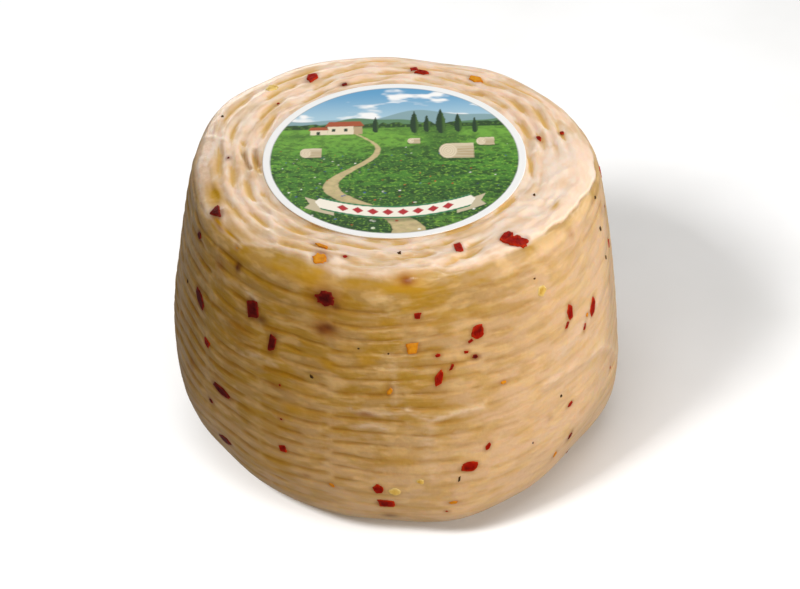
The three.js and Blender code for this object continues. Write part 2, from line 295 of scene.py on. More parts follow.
@dataclass
class Drum:
    """The drum of curd without the marks of its mould, in millimetres.

    Attributes:
        height: height of its flat top.
        belly_radius: its largest radius.
        belly_height: height of that radius.
        rim_taper: share of the radius lost from belly to rim.
        rim_curve: power of the height by which it is lost.
        foot_taper: share of the radius lost from belly to foot.
        foot_curve: power of the height by which it is lost.
        shoulder: the rounding between side and top.
        foot: the rounding between side and base.
        flat_radius: the dents leave the top and the base level up to this radius.
        flat_fade: how much farther out they have their full depth.
        broad_fade: stretch of outline over which the side's broad unevenness fades.
        pushes: dents and swellings, each with a height as its level.
        lumps: broad lumps of the side.
        outline_points: points of the outline, without the middles of the top and the base.
        half_chord: half the stretch of outline that the outward direction is square to.
    """

    height: float
    belly_radius: float = 65
    belly_height: float = 26.5
    rim_taper: float = 0.13
    rim_curve: float = 2
    foot_taper: float = 0.112
    foot_curve: float = 1.6
    shoulder: RoundedEdge = RoundedEdge(10, 6)
    foot: RoundedEdge = RoundedEdge(10.6, 11.5)
    flat_radius: float = 39.5
    flat_fade: float = 14
    broad_fade: float = 9
    pushes: tuple[Patch, ...] = patches(
        (-58, 9, 20, 12, -1.6), (-12, 9, 22, 12, -1.1), (14, 9, 13, 12, 2.3), (50, 9, 15, 12, -1.2),
        (86, 9, 15, 12, 2.1), (132, 9, 18, 12, -1.0), (178, 9, 20, 12, 1.2), (-124, 9, 18, 12, 1.4),
        (170, 92, 32, 22, -1.9), (-128, 92, 24, 22, 2.7),
    )
    lumps: tuple[Wave, ...] = (
        Wave(0.4, 3, 1.1, 0.042),
        Wave(0.3, 7, 0.4, -0.067),
        Wave(0.2, 12, 2.0, 0.111),
    )
    outline_points: int = 401
    half_chord: float = 0.6

    def __post_init__(self) -> None:
        """Lay out the outline: a radius and a height for each station."""
        turns = np.linspace(0, np.pi, self.outline_points)
        heights = self.height * (1 + np.cos(turns)) / 2
        from_shoulder = (heights - self.height + self.shoulder.drop) / self.shoulder.drop
        from_foot = (self.foot.drop - heights) / self.foot.drop
        radii = (self.side_radius(heights) - self.shoulder.inset(from_shoulder)
                 - self.foot.inset(from_foot))
        self.radii = np.concatenate([[0], radii, [0]])
        self.heights = np.concatenate([[self.height], heights, [0]])
        steps = np.hypot(np.diff(self.radii), np.diff(self.heights))
        self.stations = np.concatenate([[0], np.cumsum(steps)])
        self.length = float(self.stations[-1])

    def side_radius(self, height: Array) -> Array:
        """Radius of the side before its edges are rounded: a power law each way from the belly.

        Args:
            height: heights above the base.

        Returns:
            The radius at each height.
        """
        above = np.maximum(height - self.belly_height, 0) / (self.height - self.belly_height)
        below = np.maximum(self.belly_height - height, 0) / self.belly_height
        lost = self.rim_taper * above ** self.rim_curve + self.foot_taper * below ** self.foot_curve
        return self.belly_radius * (1 - lost)

    def at(self, station: Array) -> tuple[Array, Array]:
        """Radius and height of the outline at a station."""
        return (np.interp(station, self.stations, self.radii),
                np.interp(station, self.stations, self.heights))

    def outward(self, station: Array) -> tuple[Array, Array]:
        """The outline's outward direction, square to a short chord of it.

        Args:
            station: places along the outline.

        Returns:
            The direction's parts along the radius and the height.
        """
        (r0, h0), (r1, h1) = self.at(station - self.half_chord), self.at(station + self.half_chord)
        size = np.hypot(r1 - r0, h1 - h0)
        return -(h1 - h0) / size, (r1 - r0) / size

    def station_of(self, height: float) -> float:
        """Station of a height on the side."""
        return float(np.interp(-height, -self.heights[1:-1], self.stations[1:-1]))

    def pushed(self, turn: Array, radius: Array, height: Array) -> Array:
        """Radial push of the dents and swellings: the sum of their bells, none on the flats."""
        push = sum(patch.amount * patch.share(turn, height) for patch in self.pushes)
        return push * smoothstep(radius, self.flat_radius, self.flat_radius + self.flat_fade)


@dataclass(frozen=True)
class Places:
    """Places on the skin, in arrays of the same shape.

    Attributes:
        station: millimetres along the outline.
        turn: radians round the drum.
        height: millimetres above the base, on the skin without its relief.
    """

    station: Array
    turn: Array
    height: Array


@dataclass(frozen=True)
class Rings:
    """Rings of pockets in a flat face, in millimetres along the outline.

    Attributes:
        start: station of the first ring's near edge.
        pitch: from one ring to the next.
        ridges: how many strands stand between the grooves.
        depth: of the pockets below the strands.
    """

    start: float
    pitch: float
    ridges: int
    depth: float

    @property
    def end(self) -> float:
        """Station of the last ring's far edge."""
        return self.start + self.ridges * self.pitch


@dataclass(frozen=True)
class Crease:
    """A raised or sunken line in the skin, along a few straight stretches.

    Attributes:
        path: its corners, as azimuth in degrees and station in millimetres.
        width: half width in millimetres.
        lift: how far it stands out, or in if negative.
        pale: how much paler than the curd round it; on the raised folds of the rim this is partly a
            painted highlight.
        dark: how dark the whey in it is.
    """

    path: tuple[tuple[float, float], ...]
    width: float
    lift: float
    pale: float
    dark: float = 0

    def share(self, station: Array, turn: Array, radius: float) -> Array:
        """A bell of the distance to the nearest stretch, measured on the unrolled skin.

        Args:
            station: places along the outline.
            turn: places round the drum.
            radius: radius that the skin is unrolled at.

        Returns:
            1 on the line, falling off to 0 beside it.
        """
        nearest = np.full(np.broadcast(station, turn).shape, np.inf)
        for (a0, s0), (a1, s1) in zip(self.path[:-1], self.path[1:]):
            run = np.array([math.radians(a1 - a0) * radius, s1 - s0])
            x = turn_between(turn, math.radians(a0)) * radius
            y = station - s0
            share = np.clip((x * run[0] + y * run[1]) / (run @ run), 0, 1)
            nearest = np.minimum(nearest, np.hypot(x - share * run[0], y - share * run[1]))
        return bell(nearest, self.width)


class Kind(Enum):
    """What is pressed into the curd. The value names its piece."""

    RED = "chilli_red"
    DARK = "chilli_dark"
    ORANGE = "chilli_orange"
    SEED = "chilli_seeds"
    PEPPER = "pepper_specks"


@dataclass(frozen=True)
class Flake:
    """One flake, seed or speck in the skin.

    Attributes:
        kind: what it is.
        azimuth: degrees from the front.
        station: its place on the outline, in millimetres.
        wide: width on the skin in millimetres.
        tall: height on the skin in millimetres.
        turn: how far it is turned, in degrees.
        corners: how many corners its outline has.
        proud: how far it stands out of the curd.
        crumple: share of that which its own folds take.
    """

    kind: Kind
    azimuth: float
    station: float
    wide: float
    tall: float
    turn: float = 0
    corners: int = 5
    proud: float = 0.22
    crumple: float = 0.3


@dataclass
class CurdSkin:
    """The woven mould's marks on the drum, and the curd's own creases, in millimetres.

    Attributes:
        drum: the drum that carries them.
        pitch: from one ridge of the side to the next.
        ridges: how many ridges the side has.
        depth: of the side's grooves below their crests.
        crest_share: share of that by which the curd leans out below each groove.
        first_groove_height: height of the side's highest groove.
        panel: degrees between two uprights of the mould.
        first_upright: azimuth of the upright before the first panel.
        panel_steps: how far each panel's grooves lie below the others', in thirds of a pitch.
        top: the top's rings.
        base_pitch: from one ring of the base to the next.
        base_ridges: how many strands the base has.
        rest_radius: of the base's flat middle.
        pockets: how many a ring has.
        row_shift: radians that the pockets shift from ring to ring.
        wall_share: share of a ring's depth that is left between two pockets.
        weave_fade: stretch over which the side's weave ends.
        groove_width: half width of a groove, in pitches.
        pool_width: half width of the whey along it, in pitches.
        crest_middle: place of a crest below its groove, in pitches.
        crest_width: half width of a crest, in pitches.
        groove_cut: how far a groove cuts in, as a share of the depth.
        block_lift: how far short stretches of a ridge are set off, as a share of the depth.
        waver: how far a groove wavers by itself, in pitches.
        seam_width: half width of the uprights' marks, in degrees.
        worn: where the weave is worn away, each with a height as its level.
        rim_line: where the top's skin ends, as azimuth in degrees and station.
        fold_span: azimuths between which it is folded over the rim.
        fold_start: stations over which the folded sheet begins.
        ledge_span: azimuths between which its edge is a clear fold.
        lip_span: azimuths of the front, where its edge is broken.
        side_stray: how the side's lines stray up and down.
        ring_stray: how the rings stray in and out.
        side_creases: the side's creases, as a Crease's values with heights for stations.
        top_creases: the top's and the rim's, as a Crease's values.
    """

    drum: Drum
    pitch: float = 4.5
    ridges: int = 17
    depth: float = 1.05
    crest_share: float = 0.3
    first_groove_height: float = 83.8
    panel: float = 20
    first_upright: float = -18
    panel_steps: tuple[int, ...] = (1, 1, 2, 1, 2, 0, 1, 2, 2, 1, 0, 0, 1, 2, 1, 0, 0, 0)
    top: Rings = Rings(36, 3.6, 5, 0.85)
    base_pitch: float = 4
    base_ridges: int = 3
    rest_radius: float = 24
    pockets: int = 13
    row_shift: float = 2.4
    wall_share: float = 0.35
    weave_fade: float = 5
    groove_width: float = 0.11
    pool_width: float = 0.27
    crest_middle: float = 0.24
    crest_width: float = 0.16
    groove_cut: float = 0.4
    block_lift: float = 0.14
    waver: float = 0.2
    seam_width: float = 0.9
    worn: tuple[Patch, ...] = patches(
        (54, 46, 40, 64, 0.88), (6, 8, 62, 14, 0.7), (6, 88, 24, 6, 0.85), (-70, 18, 26, 16, 0.6),
        (176, 22, 36, 22, 0.6), (-138, 70, 22, 20, 0.5), (4, 27, 22, 13, 0.6),
    )
    rim_line: tuple[tuple[float, float], ...] = (
        (-180, 56), (-140, 56.5), (-100, 56), (-75, 57), (-60, 57), (-48, 55), (-40, 51.8),
        (-32, 52), (-26, 53.5), (-14, 53.9), (-4, 54.3), (2, 53.2), (6, 51.5), (12, 52),
        (20, 53.4), (28, 54.5), (36, 54.6), (44, 53.6), (52, 54.4), (61, 54.9), (72, 56.2),
        (82, 57.6), (100, 57), (130, 56.5), (160, 57),
    )
    fold_span: Slopes = ((24, 38), (84, 104))
    fold_start: tuple[float, float] = (40.5, 44.5)
    ledge_span: Slopes = ((26, 38), (80, 96))
    lip_span: Slopes = ((-48, -36), (26, 38))
    side_stray: tuple[Wave, ...] = (
        Wave(0.7, 2, 0.5, 0),
        Wave(0.45, 5, 0, 0.053),
        Wave(0.25, 9, 2, 0.091),
    )
    ring_stray: tuple[Wave, ...] = (Wave(0.6, 6, 1, 0), Wave(0.4, 11, 0, 0.333))
    side_creases: tuple[tuple, ...] = (
        (((-12, 50.5), (-5, 49), (2, 51), (8, 47.6), (14, 49.5), (21, 50)), 1.0, 0.18, 0.6),
        (((40, 47.5), (52, 47), (62, 45), (71, 37), (79, 28)), 1.6, 0.45, 0.3),
        (((43, 55), (56, 58), (66, 60)), 2.0, 0.2, 0.25),
        (((-1.5, 69), (-1.2, 58), (-1.6, 47)), 1.2, 0.08, 0.3),
        (((7.5, 46), (6.4, 36), (8, 27)), 2.2, 0.1, 0.3),
        (((-12, 43), (-8, 45.5), (-3, 44)), 1.3, 0.15, 0.5),
        (((-52, 77), (-46, 79), (-40, 77.5)), 1.0, 0.25, 0.5),
        (((-45, 57), (-38, 60.5), (-33, 59)), 0.9, 0.2, 0.4),
    )
    top_creases: tuple[tuple, ...] = (
        (((-22, 50), (-12, 51.6), (-4, 50.4), (2, 50.2)), 0.9, 0.4, 0.8),
        (((4, 48), (12, 50), (22, 49)), 0.8, 0.4, 0.7),
        (((10, 44.5), (15, 47), (19, 50), (24, 53)), 0.8, 0.5, 0.8),
        (((-7, 44), (-3, 46.5), (1, 49)), 1.2, 0.35, 0.5),
        (((-52, 44), (-46, 47), (-40, 50.5)), 1.1, 0.45, 0.7),
        (((-74, 57), (-62, 56.2), (-50, 57.5)), 1.2, 0.4, 0.6),
        (((54, 41), (60, 44.5), (63, 49)), 0.9, 0.4, 0.5),
        (((46, 43.5), (54, 47.8), (66, 50)), 1.0, -0.45, 0),
        (((58, 46.5), (63, 47), (67, 48)), 0.7, -0.35, 0),
        (((40, 44), (47, 45.4), (55, 44.8)), 0.6, 0.35, 0.6),
        (((44, 50.2), (51, 49), (58, 50.4), (66, 51)), 0.6, 0.35, 0.7),
        (((50, 53), (57, 51.8), (62, 53)), 0.5, 0.3, 0.6),
        (((68, 42.5), (71, 45.4), (77, 47), (82, 50.5)), 0.6, 0.35, 0.6),
        (((78, 42), (80, 45), (86, 47.6)), 0.6, 0.3, 0.5),
        (((70, 51.5), (75, 53.4), (79, 53.2)), 0.5, 0.3, 0.5),
        (((90, 41), (92, 45), (97, 49)), 0.7, 0.3, 0.5),
        (((-96, 42.9), (-90, 42.4), (-84, 41.8)), 0.75, -0.8, 0, 1.2),
        (((-98, 39.8), (-92, 39.2), (-86, 38.6)), 0.7, -0.6, 0, 1.0),
        (((-78, 53.4), (-72, 53.6), (-67, 54.8)), 1.9, -0.7, 0),
        (((-62, 56), (-57.5, 56), (-52, 56.5)), 1.4, -0.6, 0, 0.25),
        (((-107, 57.5), (-104.5, 53), (-102, 48.5)), 0.6, 0.35, 0.8),
    )

    def __post_init__(self) -> None:
        """Work out where the side's weave and the base's rings start and end."""
        drum = self.drum
        self.side_start = drum.station_of(self.first_groove_height)
        self.side_end = self.side_start + self.ridges * self.pitch
        base_start = drum.length - self.rest_radius - self.base_ridges * self.base_pitch
        self.base = Rings(base_start, self.base_pitch, self.base_ridges, 1)
        self.creases = self.laid_creases()

    def laid_creases(self) -> tuple[Crease, ...]:
        """Every crease of the skin.

        Returns:
            The side's, with their heights turned to stations, and the top's.
        """
        side = [(tuple((azimuth, self.drum.station_of(height)) for azimuth, height in path), *rest)
                for path, *rest in self.side_creases]
        return tuple(Crease(*row) for row in (*side, *self.top_creases))

    def stray(self, station: Array, turn: Array) -> Array:
        """How far the weave's lines stray along the outline: the sum of their waves.

        Args:
            station: places along the outline.
            turn: places round the drum.

        Returns:
            Millimetres along the outline.
        """
        fade = self.drum.broad_fade
        on_side = within(station, self.side_start, self.side_end - fade, fade)
        on_rings = within(station, self.top.start + self.top.pitch, self.top.end, self.top.pitch)
        return (on_side * sum(wave.at(station, turn) for wave in self.side_stray)
                + on_rings * sum(wave.at(station, turn) for wave in self.ring_stray))

    def place(self, station: Array, turn: Array, lift: Array = 0) -> Array:
        """Point of the skin at a lift over the unmarked drum.

        The drum's outline is followed at the strayed station. The lumps and the lift go along
        its outward direction, and the push of the dents goes along the radius.

        Args:
            station: place along the outline, in millimetres.
            turn: place round the drum, in radians.
            lift: distance out of the drum, in millimetres.

        Returns:
            The points, with x, y and z last, in millimetres.
        """
        drum = self.drum
        strayed = station + self.stray(station, turn)
        radius, height = drum.at(strayed)
        out_radius, out_height = drum.outward(strayed)
        share = within(station, self.top.end, self.side_end, drum.broad_fade)
        lift = lift + share * sum(wave.at(station, turn) for wave in drum.lumps)
        full = radius + lift * out_radius + drum.pushed(turn, radius, height)
        full, height, turn = np.broadcast_arrays(full, height + lift * out_height, turn)
        return np.stack([full * np.sin(turn), -full * np.cos(turn), height], axis=-1)

    def panels(self, turn: Array) -> Array:
        """Place among the mould's panels, whole at each upright."""
        return np.mod(np.degrees(turn) - self.first_upright, 360) / self.panel

    def ridge_place(self, station: Array, turn: Array) -> Array:
        """Place in the side's ridges, in pitches: whole at each groove, stepped by the panel.

        A random field of short waves makes each groove waver a little by itself.

        Args:
            station: places along the outline.
            turn: places round the drum.

        Returns:
            Pitches below the side's first groove.
        """
        cells = 48
        steps = np.array(self.panel_steps)[np.floor(self.panels(turn)).astype(int)] / 3
        place = (station - self.side_start) / self.pitch - steps
        waves = lattice_noise(place * 0.8 + 5, full_turns(turn) * cells, Seed.RIDGE_WAVER, cells)
        return place + self.waver * (waves - 0.5)

    def seam(self, turn: Array) -> Array:
        """1 on the mould's uprights and 0 between them, where the lines break."""
        panels = self.panels(turn)
        return bell(np.abs(panels - np.round(panels)) * self.panel, self.seam_width)

    def unworn(self, turn: Array, height: Array) -> Array:
        """Share of the weave's depth that is left after wear: the product of what each leaves.

        Args:
            turn: places round the drum.
            height: their heights above the base.

        Returns:
            1 where nothing is worn, down to 0.
        """
        left = np.ones(np.broadcast(turn, height).shape)
        for patch in self.worn:
            left = left * (1 - patch.amount * patch.share(turn, height))
        return left

    def side_marks(self, at: Places) -> tuple[Array, ...]:
        """The side's weave.

        Below each groove the curd stands out at once and then slopes back to the next one, as
        shingles do. A groove is a bell of the distance to a whole ridge place. A slow random
        field breaks the lines, and a blocky one sets short stretches of a ridge off a little.

        Args:
            at: the places.

        Returns:
            The relief in millimetres, then shares of groove, painted crest highlight and whey along
            the grooves.
        """
        cells, least, slip, edge, at_seam = 64, 0.3, 0.37, 0.12, 0.75
        place = self.ridge_place(at.station, at.turn)
        row = np.floor(place)
        down = place - row
        near = np.minimum(down, 1 - down)
        along = full_turns(at.turn) * cells
        whole = lattice_noise(np.round(place), along, Seed.GROOVE_BREAKS, cells)
        kept = least + (1 - least) * smoothstep(whole, 0.2, 0.7)
        block = lattice_noise(row, along + slip * row, Seed.RIDGE_BLOCKS, cells, edge)
        fade = within(at.station, self.side_start - 1, self.side_end - self.weave_fade,
                      self.weave_fade)
        share = self.unworn(at.turn, at.height) * fade * (1 - at_seam * self.seam(at.turn))
        groove = bell(near, self.groove_width) * kept
        # the crest just below each groove is painted paler, as a highlight on the ridge's upper
        # edge
        crest = bell(down - self.crest_middle, self.crest_width) * (0.15 + 0.85 * block)
        pool = bell(near, self.pool_width) * kept
        level = self.crest_share * (0.75 - down) - groove * self.groove_cut
        relief = self.depth * share * (level + self.block_lift * (block - 0.5))
        return relief, groove * share, crest * share, pool * share

    def pocket_marks(self, rings: Rings, at: Places) -> tuple[Array, ...]:
        """Rings of pockets.

        Along a ring the depth swings as a sine of the turn, which drifts from ring to ring and
        wanders by a slow random field. Across a ring it is a bell about the groove's middle. A
        blocky random field lifts small lumps on the strands between the pockets.

        Args:
            rings: the rings.
            at: the places.

        Returns:
            The relief in millimetres, how deep in a pocket each place is, and its small lumps.
        """
        slow, fine = 23, 67  # cells of the two random fields in a full turn
        wander, groove, block_edge, wall_lift, block_lift = 1.6, 0.27, 0.2, 0.35, 0.4
        place = (at.station - rings.start) / rings.pitch
        row = np.clip(np.round(place), 1, rings.ridges - 1)
        drift = lattice_noise(place / 1.3 + 9, full_turns(at.turn) * slow, Seed.POCKET_WANDER, slow)
        phase = self.row_shift * place + wander * (drift - 0.5)
        pocket = smoothstep(0.5 + 0.5 * np.sin(self.pockets * at.turn + phase), 0.3, 0.8)
        deep = bell(place - row, groove)
        share = self.wall_share + (1 - self.wall_share) * pocket
        inside = within(place, 0.55, rings.ridges - 0.55, 0.35)
        block = lattice_noise(place * 1.1 + 30, full_turns(at.turn) * fine + 0.6 * place,
                              Seed.POCKET_LUMPS, fine, block_edge)
        lift = wall_lift * (1 - pocket) * (1 - deep) + block_lift * (block - 0.5)
        return rings.depth * inside * (lift - deep * share), deep * pocket * inside, inside * block

    def rim(self, turn: Array) -> Array:
        """Station where the top's skin ends: a line traced round the rim, with small waves.

        Args:
            turn: places round the drum.

        Returns:
            The station at each place.
        """
        azimuths, stations = np.array(self.rim_line).T
        traced = np.interp(np.degrees(turn_between(turn, 0)), azimuths, stations, period=360)
        return traced + 0.35 * np.sin(turn * 19 + 0.6) + 0.2 * np.sin(turn * 43 + 2)

    def fold(self, at: Places) -> tuple[Array, Array]:
        """The sheet of skin folded over the rim at the right.

        Args:
            at: the places.

        Returns:
            Shares of the sheet, which ends at the rim, and of the painted shadow just past it.
        """
        edge = self.rim(at.turn)
        share = plateau(np.degrees(turn_between(at.turn, 0)), *self.fold_span)
        sheet = plateau(at.station, self.fold_start, (edge - 0.2, edge + 0.3))
        # painted shadow: a band just past the folded edge
        fold_shadow = plateau(at.station, (edge, edge + 0.5), (edge + 1, edge + 5))
        return share * sheet, share * fold_shadow

    def ledge(self, at: Places) -> tuple[Array, Array]:
        """The thin edge of the top's skin along the rim.

        Before the edge the skin stands proud, and past it the side falls back within a
        millimetre. It is a clear fold at the right, broken at the front and a soft roll
        elsewhere.

        Args:
            at: the places.

        Returns:
            The relief of its step in millimetres, and the share of its pale lip: paler curd with a
            painted highlight along the roll.
        """
        cells, roll, proud, lip_proud = 60, 0.25, 0.75, 0.2
        degrees, edge = np.degrees(turn_between(at.turn, 0)), self.rim(at.turn)
        fold = plateau(degrees, *self.ledge_span)
        front = plateau(degrees, *self.lip_span)
        broken = lattice_noise(np.zeros_like(at.turn), full_turns(at.turn) * cells,
                               Seed.LEDGE_BREAKS, cells)
        strength = fold + front * (0.3 + 0.6 * broken) + roll * (1 - fold) * (1 - front)
        sheet = plateau(at.station, (edge - 7, edge - 0.8), (edge - 0.1, edge + 0.6))
        lip = bell(at.station - edge + 0.35, 0.5)
        return strength * (proud * sheet + lip_proud * lip), strength * lip


# ---- Meshes ----


def new_piece(name: str, points: Array, faces: list[Array],
              values: dict[str, Array], material: bpy.types.Material) -> bpy.types.Object:
    """Make a mesh piece that rides on the cheese's one body.

    Args:
        name: the piece's name.
        points: its points in millimetres, one a row.
        faces: arrays of point numbers, one face a row, each array with its own corner count.
        values: named values at its points: one number, a vector of three or a colour of four.
        material: its finish.

    Returns:
        The finished object, at the origin.
    """
    corners = np.concatenate([part.ravel() for part in faces]).astype(np.int32)
    counts = np.concatenate([np.full(len(part), part.shape[1]) for part in faces])
    starts = np.concatenate([[0], np.cumsum(counts)[:-1]]).astype(np.int32)
    mesh = bpy.data.meshes.new(name)
    mesh.vertices.add(len(points))
    mesh.vertices.foreach_set("co", (points * MM).astype(np.float32).ravel())
    mesh.loops.add(len(corners))
    mesh.loops.foreach_set("vertex_index", corners)
    mesh.polygons.add(len(starts))
    mesh.polygons.foreach_set("loop_start", starts)
    mesh.update(calc_edges=True)
    mesh.validate()
    mesh.shade_smooth()
    for key, value in values.items():
        width = 1 if value.ndim == 1 else value.shape[1]
        kind, prop = {1: ("FLOAT", "value"), 3: ("FLOAT_VECTOR", "vector"),
                      4: ("FLOAT_COLOR", "color")}[width]
        layer = mesh.attributes.new(key, kind, "POINT")
        layer.data.foreach_set(prop, value.astype(np.float32).ravel())
    mesh.materials.append(material)
    piece = bpy.data.objects.new(name, mesh)
    bpy.context.scene.collection.objects.link(piece)
    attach(piece, BODY)
    LOG.info("%s: %d points, %d faces", name, len(points), len(starts))
    return piece


def tube_faces(rows: int, columns: int) -> Array:
    """Four-cornered faces between rows of points that close into rings.

    Args:
        rows: how many rings of points there are.
        columns: points of a ring.

    Returns:
        Point numbers, one face a row.
    """
    row, column = np.meshgrid(np.arange(rows - 1), np.arange(columns), indexing="ij")
    after = (column + 1) % columns
    here, below = row * columns, (row + 1) * columns
    faces = np.stack([here + column, below + column, below + after, here + after], axis=-1)
    return faces.reshape(-1, 4)


def fan_faces(tip: int, first: int, columns: int, flip: bool) -> Array:
    """Three-cornered faces from a tip to a ring of points.

    Args:
        tip: number of the tip.
        first: number of the ring's first point.
        columns: points of the ring.
        flip: whether the faces turn the other way.

    Returns:
        Point numbers, one face a row.
    """
    column = np.arange(columns)
    ring = [first + column, first + (column + 1) % columns]
    if flip:
        ring.reverse()
    return np.stack([np.full(columns, tip), *ring], axis=-1)


# ---- Finishes ----


class Finish:
    """A material under way: a Principled shader, and steps that lay one colour over another."""

    def __init__(self, name: str, **constants: float | tuple) -> None:
        """Start a material with the values that are the same all over it.

        Args:
            name: the material's name, for what it really is.
            constants: the shader's socket names, with _ for a space, and their values.
        """
        self.material = bpy.data.materials.new(name)
        self.material.use_nodes = True
        self.tree = self.material.node_tree
        self.shader = self.tree.nodes["Principled BSDF"]
        for key, value in constants.items():
            self.shader.inputs[key.replace("_", " ")].default_value = value

    def add(self, kind: str, settings: dict | None = None,
            inputs: dict | None = None) -> bpy.types.Node:
        """Add a node, set its properties and fill its sockets.

        Args:
            kind: the node's type without its ShaderNode prefix.
            settings: property names and values.
            inputs: socket names or numbers, each with a value or a socket to link from.

        Returns:
            The new node.
        """
        node = self.tree.nodes.new("ShaderNode" + kind)
        for name, value in (settings or {}).items():
            setattr(node, name, value)
        for name, value in (inputs or {}).items():
            if isinstance(value, Socket):
                self.tree.links.new(value, node.inputs[name])
            else:
                node.inputs[name].default_value = value
        return node

    def over(self, base: int | Socket, colour: int | Socket, *shares: str | Socket) -> Socket:
        """Lay a colour over a base by the product of its shares, each from 0 to 1.

        Args:
            base: what is there, as a hex colour or a socket.
            colour: what comes over it, as a hex colour or a socket.
            shares: patterns' sockets, or names of numbers stored at the mesh's points.

        Returns:
            The socket of the colours together.
        """
        below, above = (linear(c) if isinstance(c, int) else c for c in (base, colour))
        amount = None
        for share in shares:
            if isinstance(share, str):
                share = self.add("Attribute", {"attribute_name": share}).outputs["Fac"]
            if amount is not None:
                product = {"operation": "MULTIPLY", "use_clamp": True}
                share = self.add("Math", product, {0: amount, 1: share}).outputs[0]
            amount = share
        mix = self.add("Mix", {"data_type": "RGBA"}, {0: amount, 6: below, 7: above})
        return mix.outputs[2]

    def speckle(self, vector: Socket, size: tuple[float, float, float], low: float, high: float,
                top: float = 1, detail: float = 3) -> Socket:
        """Noise of a real grain size, stretched to run from 0 to a top between two levels.

        Args:
            vector: what the noise is laid on, in metres.
            size: the grain's size along x, y and z, in millimetres.
            low: noise level that gives 0.
            high: noise level that gives the top.
            top: the largest result.
            detail: how many finer layers the noise has.

        Returns:
            The socket of the result.
        """
        scale = tuple(1 / (s * MM) for s in size)
        mapped = self.add("Mapping", {"vector_type": "POINT"}, {"Vector": vector, "Scale": scale})
        noise = self.add("TexNoise", None, {"Vector": mapped.outputs[0], "Scale": 1.0,
                                            "Detail": detail})
        ranged = self.add("MapRange", None, {"Value": noise.outputs[0], "From Min": low,
                                             "From Max": high, "To Min": 0.0, "To Max": top})
        return ranged.outputs[0]

    def finish(self, **sockets: Socket) -> bpy.types.Material:
        """Link the shader's varying sockets and hand the material over.

        Args:
            sockets: the shader's socket names, with _ for a space, and what goes into each.

        Returns:
            The material.
        """
        for key, socket in sockets.items():
            self.tree.links.new(socket, self.shader.inputs[key.replace("_", " ")])
        return self.material


@dataclass(frozen=True)
class CurdFinish:
    """Young pressed curd, moist and slightly see-through, cream with ochre whey in its grooves.

    Light goes a few millimetres into it, so edges glow and grooves stay soft, and its wet film
    gives small highlights on the crests. Whey has dried to ochre where it stood, and flakes have
    stained the curd round them. Light and shade are also painted into the colours: the crests,
    the lumps on the top's strands, the lip and the raised folds are paler, partly as painted
    highlight; the pockets and the side's fields on the left and under the rim are darker, partly
    as painted shade over whey and drier curd; and the rim and the band past the fold are painted
    shade. The grain is drawn 1.1 mm across, about twice the real one, so that it shows.
    """

    top_cream: int = 0xF1D4BA
    side_cream: int = 0xE6C4A2
    # tan of drier curd, also laid as painted shade
    aged_and_shade: int = 0xAF8C4A
    peach: int = 0xECC8A8
    straw: int = 0xB48A08
    milk: int = 0xF3E0CE
    cream_edge: int = 0xEBC88E
    whey: int = 0xB5860A
    pocket: int = 0xDFB468
    groove: int = 0x9C6A08
    gold: int = 0xC6940E
    rust: int = 0x8E4806
    plum: int = 0x54140C
    grain_depth: float = 0.04
    lump_depth: float = 0.14

    def material(self) -> bpy.types.Material:
        """Build the curd: broad mottling, streaks along the ridges, then the stored marks.

        Returns:
            The material.
        """
        make = Finish("pressed_curd", IOR=1.4, Subsurface_Radius=(1.0, 0.6, 0.3),
                      Subsurface_Scale=0.0024, Specular_IOR_Level=0.35, Coat_Weight=0.18,
                      Coat_Roughness=0.12, Coat_IOR=1.33)
        place = make.add("TexCoord").outputs["Object"]
        skin = make.add("Attribute", {"attribute_name": "skin"}).outputs["Vector"]
        edge = make.over(self.milk, self.cream_edge, "side")
        peach = make.speckle(place, (15, 15, 15), 0.42, 0.62, 0.6)
        colour = make.over(self.top_cream, self.peach, peach)
        layers = (  # colour, stored share, and what a broken layer's speckle is made with
            (self.side_cream, "side"),
            (self.aged_and_shade, "aged_and_shade"),
            (edge, "milky", (7, 7, 3.4), 0.48, 0.6, 0.88, 2),
            (self.straw, "streaky", (10, 10, 4.2), 0.47, 0.6, 0.88, 2),
            (self.whey, "streaky", (10, 10, 1.5), 0.5, 0.68, 0.18, 2),
            (edge, "side", (12, 12, 1.6), 0.52, 0.68, 0.2, 2),
            # tan in the pockets of the rings: partly dried whey, partly painted shade in the
            # hollows
            (self.pocket, "pocket"),
            # cream over the crests: a painted highlight on the ridges' edges and on the strands'
            # lumps
            (edge, "crest", (8, 8, 1.6), 0.42, 0.62, 0.7, 2),
            (self.milk, "pale", (4, 4, 1.6), 0.3, 0.55, 0.9, 2),
            (self.gold, "ochre"),
            (self.whey, "whey", (14, 14, 3.6), 0.34, 0.56, 1.0, 2),
            (self.groove, "groove", (7, 7, 2), 0.15, 0.5, 1.0, 3),
            (self.rust, "rust"),
            (self.plum, "plum"),
        )
        for tone, share, *grain in layers:
            broken = [make.speckle(skin, *grain)] if grain else []
            colour = make.over(colour, tone, *broken, share)
        film = make.speckle(place, (3, 3, 3), 0.3, 0.75)
        rough = make.add("MapRange", None, {"Value": film, "To Min": 0.3, "To Max": 0.48})
        lumps = make.speckle(place, (3, 3, 2.2), 0.25, 0.75, 1.0, 1)
        uneven = make.add("Bump", None, {"Height": lumps, "Distance": self.lump_depth * MM,
                                         "Strength": 1.0})
        grain = make.speckle(place, (1.1, 1.1, 1.1), 0.25, 0.75, 1.0, 2)
        grainy = make.add("Bump", None, {"Height": grain, "Distance": self.grain_depth * MM,
                                         "Strength": 1.0, "Normal": uneven.outputs[0]})
        stain = make.add("Attribute", {"attribute_name": "stain"}).outputs["Fac"]
        clear = make.add("MapRange", None, {"Value": stain, "To Min": 0.5, "To Max": 0.08})
        return make.finish(Base_Color=colour, Roughness=rough.outputs[0],
                           Normal=grainy.outputs[0], Subsurface_Weight=clear.outputs[0])


